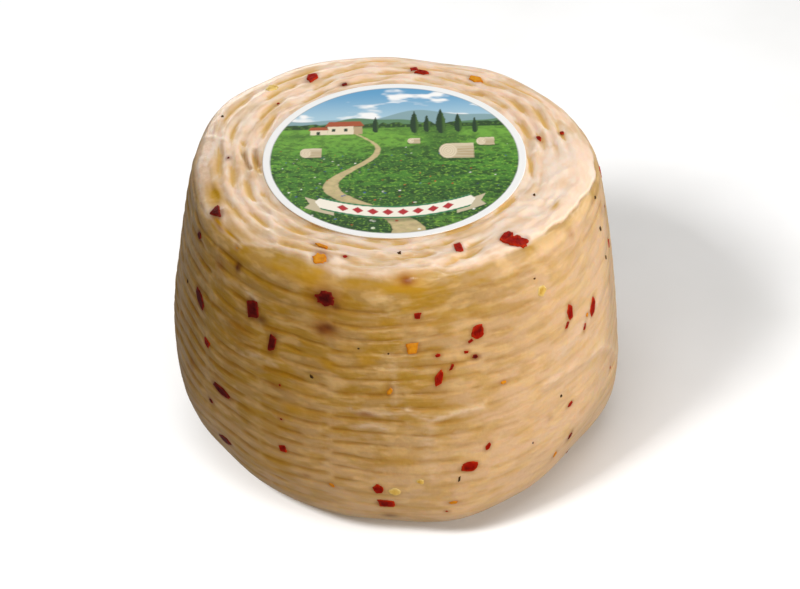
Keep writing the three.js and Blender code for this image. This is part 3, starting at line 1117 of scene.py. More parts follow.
@dataclass(frozen=True)
class ChilliFinish:
    """Dried chilli softened by the whey: dull, finely wrinkled skin, darker in its creases.

    Its seeds and the cracked pepper have the same dull, wrinkled husk in their own colours.

    Attributes:
        name: the material's name.
        skin: its main colour.
        bright: its colour at thin edges.
        deep: its colour in creases.
        roughness: of its skin.
        wrinkle_depth: of its wrinkles, in millimetres.
    """

    name: str
    skin: int
    bright: int
    deep: int
    roughness: float = 0.3
    wrinkle_depth: float = 0.08

    def material(self) -> bpy.types.Material:
        """Build the chilli: mottled by a fine noise, brighter at its rim, finely wrinkled.

        Returns:
            The material.
        """
        make = Finish(self.name, IOR=1.4, Roughness=self.roughness, Specular_IOR_Level=0.12)
        place = make.add("TexCoord").outputs["Object"]
        deep = make.speckle(place, (1.6, 1.6, 1.6), 0.45, 0.7, 0.85)
        colour = make.over(self.skin, self.deep, deep)
        bright = make.speckle(place, (1.1, 1.1, 1.1), 0.3, 0.65)
        colour = make.over(colour, self.bright, bright, "rim")
        wrinkle = make.speckle(place, (0.9, 0.9, 1.5), 0.25, 0.75)
        bump = make.add("Bump", None, {"Height": wrinkle, "Distance": self.wrinkle_depth * MM,
                                       "Strength": 1.0})
        return make.finish(Base_Color=colour, Normal=bump.outputs[0])


@dataclass(frozen=True)
class PaperFinish:
    """Coated white paper, printed by offset: smooth, with a soft sheen and no gloss.

    Its fibres are drawn half a millimetre wide, coarser than they are, so that they show.
    """

    grass_dark: int = 0x16380F
    grass_light: int = 0x8DBF3E
    fibre_depth: float = 0.01

    def material(self) -> bpy.types.Material:
        """Build the paper: the stored print, with fine grass laid where its meadow is.

        Returns:
            The material.
        """
        make = Finish("printed_label_paper", IOR=1.5, Specular_IOR_Level=0.35)
        place = make.add("TexCoord").outputs["Object"]
        colour = make.add("Attribute", {"attribute_name": "print"}).outputs["Color"]
        dark = make.speckle(place, (2.2, 1.3, 2), 0.46, 0.62, 0.8, 4)
        light = make.speckle(place, (1.1, 0.8, 1.1), 0.52, 0.68, 0.65, 4)
        colour = make.over(colour, self.grass_dark, dark, "meadow")
        colour = make.over(colour, self.grass_light, light, "meadow")
        fibre = make.speckle(place, (0.5, 0.5, 0.5), 0.2, 0.8)
        rough = make.add("MapRange", None, {"Value": fibre, "To Min": 0.42, "To Max": 0.56})
        bump = make.add("Bump", None, {"Height": fibre, "Distance": self.fibre_depth * MM,
                                       "Strength": 1.0})
        return make.finish(Base_Color=colour, Roughness=rough.outputs[0], Normal=bump.outputs[0])


@dataclass(frozen=True)
class FloorFinish:
    """White studio paper under the cheese: matt, and seen only from above."""

    paper: int = 0xF6F6F5
    white: int = 0xFFFFFF

    def material(self) -> bpy.types.Material:
        """Build the paper, clear from behind so that the base can be seen from below.

        Returns:
            The material.
        """
        make = Finish("studio_paper", Roughness=0.9)
        place = make.add("TexCoord").outputs["Object"]
        cloudy = make.speckle(place, (60, 60, 60), 0.3, 0.7)
        make.finish(Base_Color=make.over(self.paper, self.white, cloudy))
        clear = make.add("BsdfTransparent").outputs[0]
        behind = make.add("NewGeometry").outputs["Backfacing"]
        both = make.add("MixShader", None, {0: behind, 1: make.shader.outputs[0], 2: clear})
        output = make.tree.nodes["Material Output"]
        make.tree.links.new(both.outputs[0], output.inputs["Surface"])
        return make.material


# ---- The cheese ----


@dataclass
class Curd:
    """The curd's fine skin, which takes the solid's place.

    Attributes:
        skin: the marks that it carries.
        flakes: what is pressed into it.
        label_radius: radius of the label that lies on it.
        label_centre: middle of that label.
        columns: facets round the drum.
        seat: how far the top is lifted under the label, which then lies on it.
        pole_gap: radius of the outermost of the fans that close the top and the base.
        halos: how rusty and how plum each kind of flake stains the curd round it.
        ochre_spots: dried whey on the side, with heights as levels.
        rim_spots: dried whey on the top and the rim, with stations as levels.
        rim_shades: painted shade along the rim, in the darker tan, with stations as levels.
        aged_and_shade_fields: the side's drier, darker curd, with heights as levels; the large
            field on the left and the band just under the rim at the front are also painted shade.
        plum_spots: deep stains on the side, with heights as levels.
        rim_stains: rusty stains on the top and the rim, with stations as levels.
        rust_spots: rusty stains on the side, with heights as levels.
    """

    skin: CurdSkin
    flakes: tuple[Flake, ...]
    label_radius: float
    label_centre: tuple[float, float]
    columns: int = 388
    seat: float = 0.2
    pole_gap: float = 4
    halos: dict[Kind, tuple[float, float]] = field(default_factory=lambda: {
        Kind.RED: (0.5, 0.0), Kind.DARK: (0.6, 0.25), Kind.ORANGE: (0.4, 0.0)})
    ochre_spots: tuple[Patch, ...] = patches(
        (-27, 47, 5, 1.3, 0.8), (-40, 41, 3, 1.2, 0.7), (-35, 37, 3.5, 1.4, 0.6),
        (-33, 25, 4, 3, 0.7), (-13, 70, 3.4, 2.4, 0.6), (-50, 80, 4, 4, 0.6),
        (-24, 88.5, 6, 2.2, 0.85), (-4, 78.5, 9, 1.2, 0.4), (-24, 54, 3, 2, 0.6),
        (-3, 57, 1.8, 2.2, 0.6), (2, 34, 4, 3, 0.35), (-19.2, 75.4, 4.5, 3, 0.5),
        (-19.6, 84.4, 6, 4.2, 0.5), (-37, 21.7, 5, 2.4, 0.5), (-22.5, 31.7, 2.6, 1.2, 0.5),
        (-17.5, 64, 3.4, 1.8, 0.75), (-8.5, 67, 2.2, 2.2, 0.75),
    )
    rim_spots: tuple[Patch, ...] = patches(
        (-74.5, 53.2, 6.5, 3.0, 1.3), (-62, 51.8, 5, 1.6, 0.6), (-62, 56, 4, 1.3, 1.2),
        (-55.5, 55.8, 5, 1.5, 1.2), (-50, 50, 5, 2.0, 0.5), (-88, 51, 5, 1.8, 0.3),
        (-52, 53.4, 7, 1.8, 0.7), (-34, 57.5, 12, 1.6, 0.6), (-23, 55.2, 3, 1.4, 1.0),
        (-12, 57.2, 14, 1.0, 0.5), (2, 47.5, 5, 2.6, 0.4), (-14, 52.6, 7, 1.1, 0.4),
        (10, 53.2, 5, 0.9, 0.45), (20, 48.4, 6, 1.2, 0.4), (-7, 46.4, 6, 1.3, 0.4),
        (-34, 48.6, 6, 1.6, 0.45), (14, 44.8, 5, 1.3, 0.45), (61, 50.8, 2.6, 0.9, 1.0),
        (3, 55, 5.5, 3.0, 1.1), (48, 47, 4, 1.2, 0.35), (74, 49.5, 3, 1.4, 0.3),
        (41, 47.5, 3, 1.0, 0.4), (30, 43, 7, 1.6, 0.5),
    )
    rim_shades: tuple[Patch, ...] = patches(
        (-12, 52, 26, 3.4, 0.32), (22, 51, 14, 3.4, 0.3), (-58, 57.5, 12, 3, 0.15),
        (-20, 58.5, 8, 3, 0.6), (-4, 57, 8, 2.4, 0.3),
    )
    # partly drier curd, partly painted shade: the field on the left and the band under the rim
    # darken the side where less light falls
    aged_and_shade_fields: tuple[Patch, ...] = patches(
        (-44, 70, 48, 54, 1.0), (0, 86, 40, 14, 1.0), (-4, 66, 26, 42, 0.9), (24, 74, 20, 26, 0.45),
        (150, 45, 40, 60, 0.7),
    )
    plum_spots: tuple[Patch, ...] = patches(
        (-18.4, 75.9, 2.0, 1.3, 0.62), (-20.2, 74.8, 1.4, 1.2, 0.55), (-48, 83.8, 1.2, 1.4, 1.0),
        (-37.9, 72.4, 1.9, 1.7, 0.75), (-16.6, 82.6, 1.3, 1.2, 0.6), (-3.3, 9.5, 2.2, 1.2, 0.55),
        (-22, 60.2, 2.2, 0.6, 0.35), (148, 58, 2.4, 2.0, 0.5), (-155, 34, 2.2, 2.4, 0.5),
    )
    rim_stains: tuple[Patch, ...] = patches(
        (3, 54.8, 2.4, 1.8, 1.0), (-24.6, 49.8, 3.2, 1.0, 0.7), (-60, 57, 3, 1.0, 0.5),
    )
    rust_spots: tuple[Patch, ...] = patches(
        (-19.6, 84.4, 3.9, 3.2, 0.9), (-19.4, 75.2, 3.4, 2.4, 0.85), (-8.4, 49.1, 2.6, 1.0, 0.6),
        (-32.6, 52.6, 2.6, 0.8, 0.6), (-24.6, 23.5, 1.6, 1.0, 0.55), (-55.5, 80.7, 1.8, 2.2, 0.45),
        (-45, 66, 5, 5, 0.22), (-66.4, 38.8, 1.6, 3.0, 0.4), (57.5, 86.2, 1.3, 1.2, 0.4),
        (41.1, 34.6, 1.1, 1.6, 0.35), (48.6, 35, 1.2, 1.0, 0.3), (72, 30.7, 1.5, 1.4, 0.3),
        (75, 57.5, 1.6, 2.0, 0.3), (77, 51.6, 1.6, 1.6, 0.3), (79, 80, 1.6, 1.8, 0.3),
        (112, 24, 1.8, 2.0, 0.5), (-120, 60, 2.4, 1.6, 0.5),
    )

    def rows(self) -> Array:
        """Stations of the rows of points, closest where the ridges are.

        Returns:
            The stations, from the middle of the top outwards.
        """
        skin, last = self.skin, self.skin.drum.length - self.pole_gap
        flat = skin.top.start - 2
        stretches = (  # start, end and number of rows
            (self.pole_gap, flat, 5),
            (flat, skin.side_start, 46),
            (skin.side_start, skin.side_end, 150),
            (skin.side_end, skin.base.end, 44),
            (skin.base.end, last, 8),
        )
        parts = [np.linspace(low, high, count, endpoint=False) for low, high, count in stretches]
        return np.concatenate([*parts, [last]])

    def moulded(self, at: Places) -> dict[str, Array]:
        """What the mould, the folded rim and the creases leave on the skin.

        Args:
            at: the places.

        Returns:
            The relief in millimetres, and each mark's share by its name.
        """
        skin = self.skin
        relief, groove, crest, pool = skin.side_marks(at)
        top_relief, top_pocket, lump = skin.pocket_marks(skin.top, at)
        base_relief, base_pocket, _ = skin.pocket_marks(skin.base, at)
        step, lip = skin.ledge(at)
        sheet, fold_shadow = skin.fold(at)
        relief = relief + top_relief * (1 - 0.75 * sheet) + base_relief + step
        # the lip and the raised creases are painted paler, partly as a highlight
        pale = np.maximum(lip, 0.4 * sheet)
        for crease in skin.creases:
            share = crease.share(at.station, at.turn, skin.drum.belly_radius)
            relief = relief + crease.lift * share
            pale = np.maximum(pale, crease.pale * share)
            groove = np.maximum(groove, crease.dark * share)
        return {"relief": relief, "groove": groove, "crest": crest, "pool": pool, "pale": pale,
                "pocket": np.maximum(top_pocket * (1 - 0.85 * sheet), base_pocket),
                "lump": lump * (1 - 0.5 * sheet), "sheet": sheet, "fold_shadow": fold_shadow}

    def flake_distance(self, flake: Flake, points: Array) -> Array:
        """Distance from a flake's middle over the skin, along its own width and height.

        Args:
            flake: the flake.
            points: points of the skin, in millimetres.

        Returns:
            The distance, 1 at the flake's own edge.
        """
        depth = 3  # millimetres off the skin that count as the flake's own half width
        centre, around, up, out = flake_axes(self.skin, flake)
        away = points - centre
        angle = math.radians(flake.turn)
        x, y = away @ around, away @ up
        along = (x * math.cos(angle) + y * math.sin(angle)) / (flake.wide / 2)
        across = (y * math.cos(angle) - x * math.sin(angle)) / (flake.tall / 2)
        return np.sqrt(along ** 2 + across ** 2 + (away @ out / depth) ** 2)

    def stained(self, relief: Array, rust: Array, plum: Array,
                smooth: Array) -> tuple[Array, Array, Array]:
        """Level the relief under each flake, and stain the curd round it.

        The relief left is 1 less e to the minus sixth power of the distance. A stain is a bell
        of the millimetres past the flake's edge.

        Args:
            relief: the skin's relief in millimetres.
            rust: share of rusty stain so far.
            plum: share of plum stain so far.
            smooth: points of the skin without its relief.

        Returns:
            The relief and the two stains.
        """
        level_reach, edge, rust_reach, plum_reach = 1.1, 0.85, 0.6, 0.8
        for flake in self.flakes:
            away = self.flake_distance(flake, smooth)
            relief = relief * (1 - np.exp(-(away / level_reach) ** 6))
            past = np.maximum(away - edge, 0) * min(flake.wide, flake.tall) / 2
            rust_halo, plum_halo = self.halos.get(flake.kind, (0, 0))
            rust = np.maximum(rust, rust_halo * bell(past, rust_reach))
            plum = np.maximum(plum, plum_halo * bell(past, plum_reach))
        return relief, rust, plum

    def seated(self, relief: Array, station: Array, smooth: Array) -> Array:
        """Level the top under the label, so that the label lies on it.

        Args:
            relief: the skin's relief in millimetres.
            station: places along the outline.
            smooth: points of the skin without its relief.

        Returns:
            The relief, with the seat in it.
        """
        edge = 1  # millimetres over which the seat ends
        off_x, off_y = smooth[..., 0] - self.label_centre[0], smooth[..., 1] - self.label_centre[1]
        under = falling(np.hypot(off_x, off_y), self.label_radius - edge,
                        self.label_radius + edge)
        on_top = station < self.skin.top.end
        return np.where(on_top, relief * (1 - under) + self.seat * under, relief)

    def coloured(self, made: dict[str, Array], stains: list[Array],
                 at: Places) -> dict[str, Array]:
        """The shares that the finish lays its colours by.

        Args:
            made: what the mould, the rim and the creases left.
            stains: shares of rusty and of plum stain.
            at: the places.

        Returns:
            Each share by the name that the finish reads.
        """
        skin, rim, (rust, plum), sheet = self.skin, self.skin.rim(at.turn), stains, made["sheet"]
        side = plateau(at.station, (rim, rim + 1.8), (skin.side_end, skin.base.end))
        ochre = np.maximum(strongest(self.ochre_spots, at.turn, at.height),
                           strongest(self.rim_spots, at.turn, at.station))
        # the darker tan: partly drier curd, partly painted shade on the left and under the rim
        aged_and_shade = strongest(self.aged_and_shade_fields, at.turn, at.height) * side
        # painted shadow under the folded sheet, in the darker tan
        aged_and_shade = np.maximum(aged_and_shade, 0.8 * made["fold_shadow"])
        # painted shade along the rim, where it slopes away from the light
        aged_and_shade = np.maximum(aged_and_shade, strongest(self.rim_shades, at.turn, at.station))
        lump = smoothstep(made["lump"], 0.45, 0.7)
        return {
            "side": side, "aged_and_shade": aged_and_shade, "pale": made["pale"], "ochre": 0.9 * ochre,
            "rust": rust, "plum": plum,
            "stain": np.clip(np.maximum(ochre, rust + plum), 0, 1),
            "groove": np.clip(0.7 * made["groove"], 0, 1),
            # painted highlight: the side's crests and the lumps on the top's strands
            "crest": np.clip(made["crest"] + 0.8 * lump, 0, 1),
            # pocket: partly dried whey, partly painted shade in the hollows
            "pocket": smoothstep(made["pocket"], 0.1, 0.8),
            "whey": made["pool"] * side * (0.45 + 0.55 * aged_and_shade) * (1 - sheet),
            "streaky": (0.4 + side * (-0.2 + 0.7 * aged_and_shade)) * (1 - sheet),
            "milky": 0.85 - side * 0.35,
        }

    def build(self) -> bpy.types.Object:
        """Work out the skin's points and marks on a grid of stations and turns.

        Returns:
            The finished piece.
        """
        skin = self.skin
        turns = np.linspace(-np.pi, np.pi, self.columns, endpoint=False)
        station, turn = np.meshgrid(self.rows(), turns, indexing="ij")
        smooth = skin.place(station, turn)
        at = Places(station, turn, smooth[..., 2])
        made = self.moulded(at)
        rust = np.maximum(strongest(self.rust_spots, turn, at.height),
                          strongest(self.rim_stains, turn, station))
        plum = strongest(self.plum_spots, turn, at.height)
        relief, *stains = self.stained(made["relief"], rust, plum, smooth)
        points = skin.place(station, turn, self.seated(relief, station, smooth))
        points[..., 2] = np.maximum(points[..., 2], 0)
        radius = skin.drum.at(station)[0]
        unrolled = np.stack([radius * np.sin(turn), -radius * np.cos(turn), station], axis=-1)
        return self.close(points, self.coloured(made, stains, at), unrolled)

    def close(self, points: Array, marks: dict[str, Array],
              unrolled: Array) -> bpy.types.Object:
        """Close the grid with a point in the middle of the top and of the base.

        Args:
            points: the grid's points, a row for each station.
            marks: each mark's share at the points, by its name.
            unrolled: the points with their station as height, for patterns along the skin.

        Returns:
            The finished piece.
        """
        drum = self.skin.drum
        rows, columns = points.shape[:2]
        count = rows * columns
        poles = np.array([[0, 0, drum.height + self.seat], [0, 0, 0]])
        faces = [tube_faces(rows, columns), fan_faces(count, 0, columns, False),
                 fan_faces(count + 1, count - columns, columns, True)]
        values = {key: np.append(mark.ravel(), [0, 0]) for key, mark in marks.items()}
        unrolled_poles = np.array([[0, 0, 0], [0, 0, drum.length]])
        values["skin"] = np.concatenate([unrolled.reshape(-1, 3), unrolled_poles]) * MM
        points = np.concatenate([points.reshape(-1, 3), poles])
        piece = new_piece("curd_skin", points, faces, values, CurdFinish().material())
        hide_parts("cheese")
        return piece


def flake_axes(skin: CurdSkin, flake: Flake) -> tuple[Array, ...]:
    """A flake's middle on the skin, and the directions round, up and out of it.

    The direction round is a short chord of the skin. Out is square to it and to a chord along
    the outline, and up is square to both.

    Args:
        skin: the skin that carries it.
        flake: the flake.

    Returns:
        The middle in millimetres, and the three directions.
    """
    step, reach = math.radians(1), 2.0
    turn, station = math.radians(flake.azimuth), flake.station
    centre = skin.place(np.array(station), np.array(turn))
    around = (skin.place(np.array(station), np.array(turn + step))
              - skin.place(np.array(station), np.array(turn - step)))
    up = (skin.place(np.array(station - reach), np.array(turn))
          - skin.place(np.array(station + reach), np.array(turn)))
    around = around / np.linalg.norm(around)
    out = np.cross(around, up)
    out = out / np.linalg.norm(out)
    return centre, around, np.cross(out, around), out


@dataclass
class Scatter:
    """The chilli, seeds and pepper in the skin, one mesh piece for each kind.

    Attributes:
        skin: the skin that carries them.
        hidden: how many flakes the side's back has.
        specks: how many fine specks the whole skin has.
    """

    skin: CurdSkin
    hidden: int = 18
    specks: int = 46

    def flakes(self) -> tuple[Flake, ...]:
        """Every flake: those read from the photograph, and the back's and specks by rule."""
        return (*self.shown_on_side(), *self.shown_on_top(), *self.behind(), *self.fine())

    def shown_on_side(self) -> list[Flake]:
        """The side's flakes, read from the photograph.

        Returns:
            The flakes, from rows of kind, azimuth, height above the base, width, height on the
            skin, turn and corners.
        """
        red, dark, orange, seed, pepper = Kind
        rows = (
            (dark, -19.6, 84.4, 6.2, 4.8, 12, 13), (dark, -41, 74, 4.6, 6.2, 4, 4),
            (dark, -34.3, 65.8, 2.3, 5.8, -8, 4), (dark, -63.5, 63, 6.8, 4.2, -35, 6),
            (red, -58, 52.4, 3.4, 2.4, -10, 4), (dark, -68.4, 81, 3.0, 2.4, 15, 5),
            (dark, -51.7, 40, 7.6, 3.2, -8, 6), (dark, -54, 18.5, 6.4, 3.6, 20, 6),
            (red, -30.8, 31.3, 2.4, 2.6, 10, 4), (red, 5.5, 80.7, 2.2, 2.1, 0, 4),
            (orange, 3.9, 70.8, 3.8, 3.7, 6, 4), (red, 10.2, 60.8, 2.4, 5.6, -18, 5),
            (red, 13.6, 63.6, 0.8, 2.2, -30, 4), (red, 21.3, 72.8, 4.1, 4.2, 10, 5),
            (red, 19.2, 70.6, 1.6, 0.9, 25, 4), (red, 10.2, 67.8, 1.7, 1.2, 0, 5),
            (red, 50.5, 66.2, 2.6, 5.6, -4, 5), (red, 48.9, 62.8, 1.0, 2.2, -35, 4),
            (red, 61, 60.4, 3.0, 6.0, -25, 5), (red, 56.1, 57.2, 0.9, 2.2, -25, 4),
            (seed, 42, 78.3, 3.2, 3.4, 20, 5), (red, 17.2, 30.2, 5.2, 3.8, 8, 6),
            (red, -5.9, 22.6, 3.2, 3.8, 0, 5), (seed, -1.8, 22, 3.6, 3.2, 0, 6),
            (red, -4.1, 16.4, 5.2, 3.6, 0, 4), (seed, 4.7, 26.4, 2.2, 2.0, 0, 6),
            (orange, 27.5, 55.4, 1.8, 1.0, 0, 5), (orange, -2.3, 57.1, 1.4, 2.6, -20, 5),
            (red, 22.1, 35.8, 1.4, 2.6, -30, 5), (orange, 13, 17.4, 2.6, 1.2, 0, 5),
            (red, 48.6, 35, 2.2, 1.3, 20, 5), (dark, 49.5, 22, 1.2, 2.4, -20, 5),
            (red, 17.8, 67.6, 1.4, 0.9, 0, 4), (orange, 44.4, 18.4, 1.2, 2.4, -20, 5),
            (pepper, -22.7, 59.3, 1.6, 1.0, -40, 5), (pepper, 14.5, 26.4, 0.6, 2.2, -10, 4),
            (pepper, 74.6, 66.5, 1.0, 1.4, 0, 5), (pepper, 74.9, 76.3, 1.2, 1.6, 0, 5),
            (pepper, 76.8, 85.7, 0.9, 1.2, 0, 5), (pepper, 40.3, 82.9, 0.7, 0.6, 0, 5),
            (red, 81.1, 65.9, 1.6, 3.0, 0, 5), (pepper, 45.3, 40.4, 0.8, 1.0, 0, 5),
            (pepper, -2.5, 69.6, 0.6, 0.5, 0, 5), (red, -31, 42, 0.9, 0.7, 0, 5),
        )
        return [Flake(kind, azimuth, self.skin.drum.station_of(height), *rest)
                for kind, azimuth, height, *rest in rows]

    def shown_on_top(self) -> list[Flake]:
        """The top's flakes, read from the photograph.

        Returns:
            The flakes, from rows as the side's with a station, and how far each stands out.
        """
        red, dark, orange, seed, pepper = Kind
        rows = (
            (dark, -65.6, 54.9, 5.3, 3.4, 190, 3, 0.3), (orange, -24, 51.8, 4.6, 3.4, 0, 7, 0.4),
            (orange, -26.4, 46.9, 4.2, 1.4, -10, 5, 0.2),
            (red, -16.6, 48.8, 1.6, 1.0, 30, 4, 0.25), (red, 21.7, 46.6, 2.3, 3.8, -8, 4, 0.35),
            (red, 39.4, 52.6, 7.6, 4.2, -22, 7, 0.6, 0.7),
            (red, 38.2, 50.4, 5.0, 2.6, 15, 6, 0.6, 0.8), (red, -150, 47.5, 4.6, 2.8, 30, 5, 0.4),
            (red, 168, 43.6, 4.2, 2.6, -20, 5, 0.4), (red, 171.5, 45.6, 2.4, 1.8, 20, 4, 0.35),
            (orange, 147, 46.3, 4.6, 3.0, 0, 5, 0.35), (seed, -135.7, 49.2, 3.8, 3.0, 0, 6, 0.35),
            (red, 99.9, 42.6, 2.3, 1.5, 10, 5, 0.3), (pepper, 1.5, 44, 0.8, 0.5, 0, 5, 0.12),
            (pepper, -115.3, 51.8, 1.0, 0.8, 0, 5, 0.2),
            (dark, -159.5, 39.4, 1.6, 0.9, 0, 5, 0.2),
        )
        return [Flake(*row) for row in rows]

    def behind(self) -> list[Flake]:
        """The back's flakes, each in a sector of its own: small widths are the most common.

        Returns:
            The flakes.
        """
        draw = seeded_draws(Seed.FLAKES)
        skin, flakes = self.skin, []
        kinds = (Kind.RED, Kind.DARK, Kind.ORANGE, Kind.RED, Kind.SEED)
        levels, stride = 9, 5  # heights that the flakes take in turn
        for i in range(self.hidden):
            azimuth = 90 + 180 * (i + next(draw)) / self.hidden
            level = ((i * stride) % levels + next(draw)) / levels
            wide = 3 + 4 * next(draw) ** 1.6
            tall = wide * (0.5 + 0.5 * next(draw))
            station = skin.side_start + level * (skin.side_end - skin.side_start)
            flakes.append(Flake(kinds[i % len(kinds)], azimuth, station, wide, tall,
                                180 * next(draw), 4 + i % 4))
        return flakes

    def fine(self) -> list[Flake]:
        """Specks finer than two millimetres, all over the skin that can be seen.

        Returns:
            The specks.
        """
        draw = seeded_draws(Seed.SPECKS)
        kinds = (Kind.PEPPER, Kind.RED, Kind.DARK, Kind.ORANGE)
        corners, proud, long, golden = 5, 0.12, 1.3, 0.618
        start, end = self.skin.top.start + 4, self.skin.base.end - 4
        flakes = []
        for i in range(self.specks):
            azimuth = 360 * (i + next(draw)) / self.specks
            level = (i * golden + 0.1 * next(draw)) % 1
            size = 0.6 + 0.9 * next(draw) ** 2
            flakes.append(Flake(kinds[i % len(kinds)], azimuth, start + level * (end - start),
                                size * long, size, 180 * next(draw), corners, proud))
        return flakes

    def outline(self, flake: Flake, rng: np.random.Generator, around: int) -> Array:
        """A flake's outline: straight cuts between uneven corners, a little rounded.

        Corners stand at nearly even angles, and many-cornered flakes have deeper notches. The
        outline is stretched to the flake's own width and height.

        Args:
            flake: the flake.
            rng: its run of random numbers.
            around: points of the outline.

        Returns:
            The points, in millimetres from the flake's middle.
        """
        count = flake.corners
        sway, ragged = 0.22, 0.2 if count > 6 else 0.07
        least = 0.6 if count > 7 else 0.85
        angles = 2 * np.pi * (np.arange(count) + rng.uniform(-sway, sway, count) + 0.5) / count
        reach = rng.uniform(least, 1.1, count)
        corners = np.stack([np.cos(angles), np.sin(angles)], axis=-1) * reach[:, None]
        place = np.linspace(0, count, around, endpoint=False)
        first = np.floor(place).astype(int)
        share = (place - first)[:, None]
        line = corners[first] * (1 - share) + corners[(first + 1) % count] * share
        line = 0.8 * line + 0.1 * (np.roll(line, 1, 0) + np.roll(line, -1, 0))
        line = line * (1 + rng.uniform(-ragged, ragged, (around, 1)))
        low, high = line.min(0), line.max(0)
        return (2 * (line - low) / (high - low) - 1) * np.array([flake.wide, flake.tall]) / 2

    def shape(self, flake: Flake, index: int) -> tuple[Array, tuple, Array]:
        """One flake: a low uneven dome that follows the skin and dips under it at its rim.

        It is rings of the outline at growing scales, each lifted by a curve of its scale and
        rippled at random inside the rim, with a tip above and one below.

        Args:
            flake: the flake.
            index: its number, which seeds its unevenness.

        Returns:
            Its points, its faces and how near the rim each point is.
        """
        rng = np.random.default_rng(Seed.FLAKES + index)
        small = max(flake.wide, flake.tall) < 2
        around = 12 if small else 26
        scales = np.array([0.5, 0.85, 1.0, 1.12]) if small else np.array(
            [0.25, 0.5, 0.72, 0.88, 0.97, 1.02, 1.08])
        lifts = np.interp(scales, [0, 0.88, 0.97, 1.08], [1, 0.95, 0.7, -2]) * flake.proud
        flat = self.outline(flake, rng, around)[None] * scales[:, None, None]
        ripple = rng.uniform(-1, 1, (len(scales), around))
        ripple = 0.5 * ripple + 0.25 * (np.roll(ripple, 1, 1) + np.roll(ripple, -1, 1))
        lifts = lifts[:, None] + ripple * flake.crumple * flake.proud * (scales < 0.95)[:, None]
        flat = np.concatenate([flat.reshape(-1, 2), [[0, 0], [0, 0]]])
        lift = np.append(lifts.ravel(), [flake.proud, -2 * flake.proud])
        angle = math.radians(flake.turn)
        x = flat[:, 0] * math.cos(angle) - flat[:, 1] * math.sin(angle)
        y = flat[:, 0] * math.sin(angle) + flat[:, 1] * math.cos(angle)
        radius = np.hypot(*flake_axes(self.skin, flake)[0][:2])
        points = self.skin.place(flake.station - y, math.radians(flake.azimuth) + x / radius, lift)
        points[:, 2] = np.maximum(points[:, 2], 0)
        count = len(scales) * around
        tips = np.concatenate([fan_faces(count, 0, around, False),
                               fan_faces(count + 1, count - around, around, True)])
        rim = np.append(np.repeat(smoothstep(scales, 0.5, 1.0), around), [0, 0])
        return points, (tube_faces(len(scales), around), tips), rim

    def build(self) -> list[bpy.types.Object]:
        """Make the pieces, one for each kind, from all of its flakes.

        Returns:
            The finished pieces.
        """
        finishes = {
            Kind.RED: ChilliFinish("softened_red_chilli", 0x961204, 0xC4340A, 0x5E0802, 0.4),
            Kind.DARK: ChilliFinish("dark_dried_chilli", 0x5C1210, 0x962414, 0x300809, 0.42),
            Kind.ORANGE: ChilliFinish("pale_orange_chilli", 0xDD951F, 0xCB7414, 0xC0741A),
            Kind.SEED: ChilliFinish("chilli_seed_husk", 0xE2BE62, 0xF2DC9A, 0xB98A30, 0.4),
            Kind.PEPPER: ChilliFinish("cracked_pepper", 0x46321A, 0x684A22, 0x261A0E, 0.5),
        }
        pieces = []
        flakes = self.flakes()
        for kind, finish in finishes.items():
            points, quads, tips, rims, count = [], [], [], [], 0
            for index, flake in enumerate(flakes):
                if flake.kind is not kind:
                    continue
                shape, (rings, fans), rim = self.shape(flake, index)
                points.append(shape)
                quads.append(rings + count)
                tips.append(fans + count)
                rims.append(rim)
                count += len(shape)
            faces = [np.concatenate(quads), np.concatenate(tips)]
            pieces.append(new_piece(kind.value, np.concatenate(points), faces,
                                    {"rim": np.concatenate(rims)}, finish.material()))
        return pieces


# ---- The label ----


def laid(base: Array, colour: int, share: Array) -> Array:
    """Lay a hex colour over linear colours, by a share at each place."""
    return base + (linear(colour) - base) * np.clip(share, 0, 1)[:, None]


def box_share(x: Array, y: Array, left: float, right: float, low: float,
              high: float, soft: float) -> Array:
    """1 inside an upright rectangle, with an edge of a half width."""
    across = plateau(x, (left - soft, left + soft), (right - soft, right + soft))
    return across * plateau(y, (low - soft, low + soft), (high - soft, high + soft))


def roof_share(x: Array, y: Array, left: float, right: float, low: float,
               high: float, soft: float) -> Array:
    """1 inside a roof: a rectangle whose sides lean in by half of the height."""
    lean = np.clip(y - low, 0, high - low) * 0.5
    return box_share(x, y, left + lean, right - lean, low, high, soft)


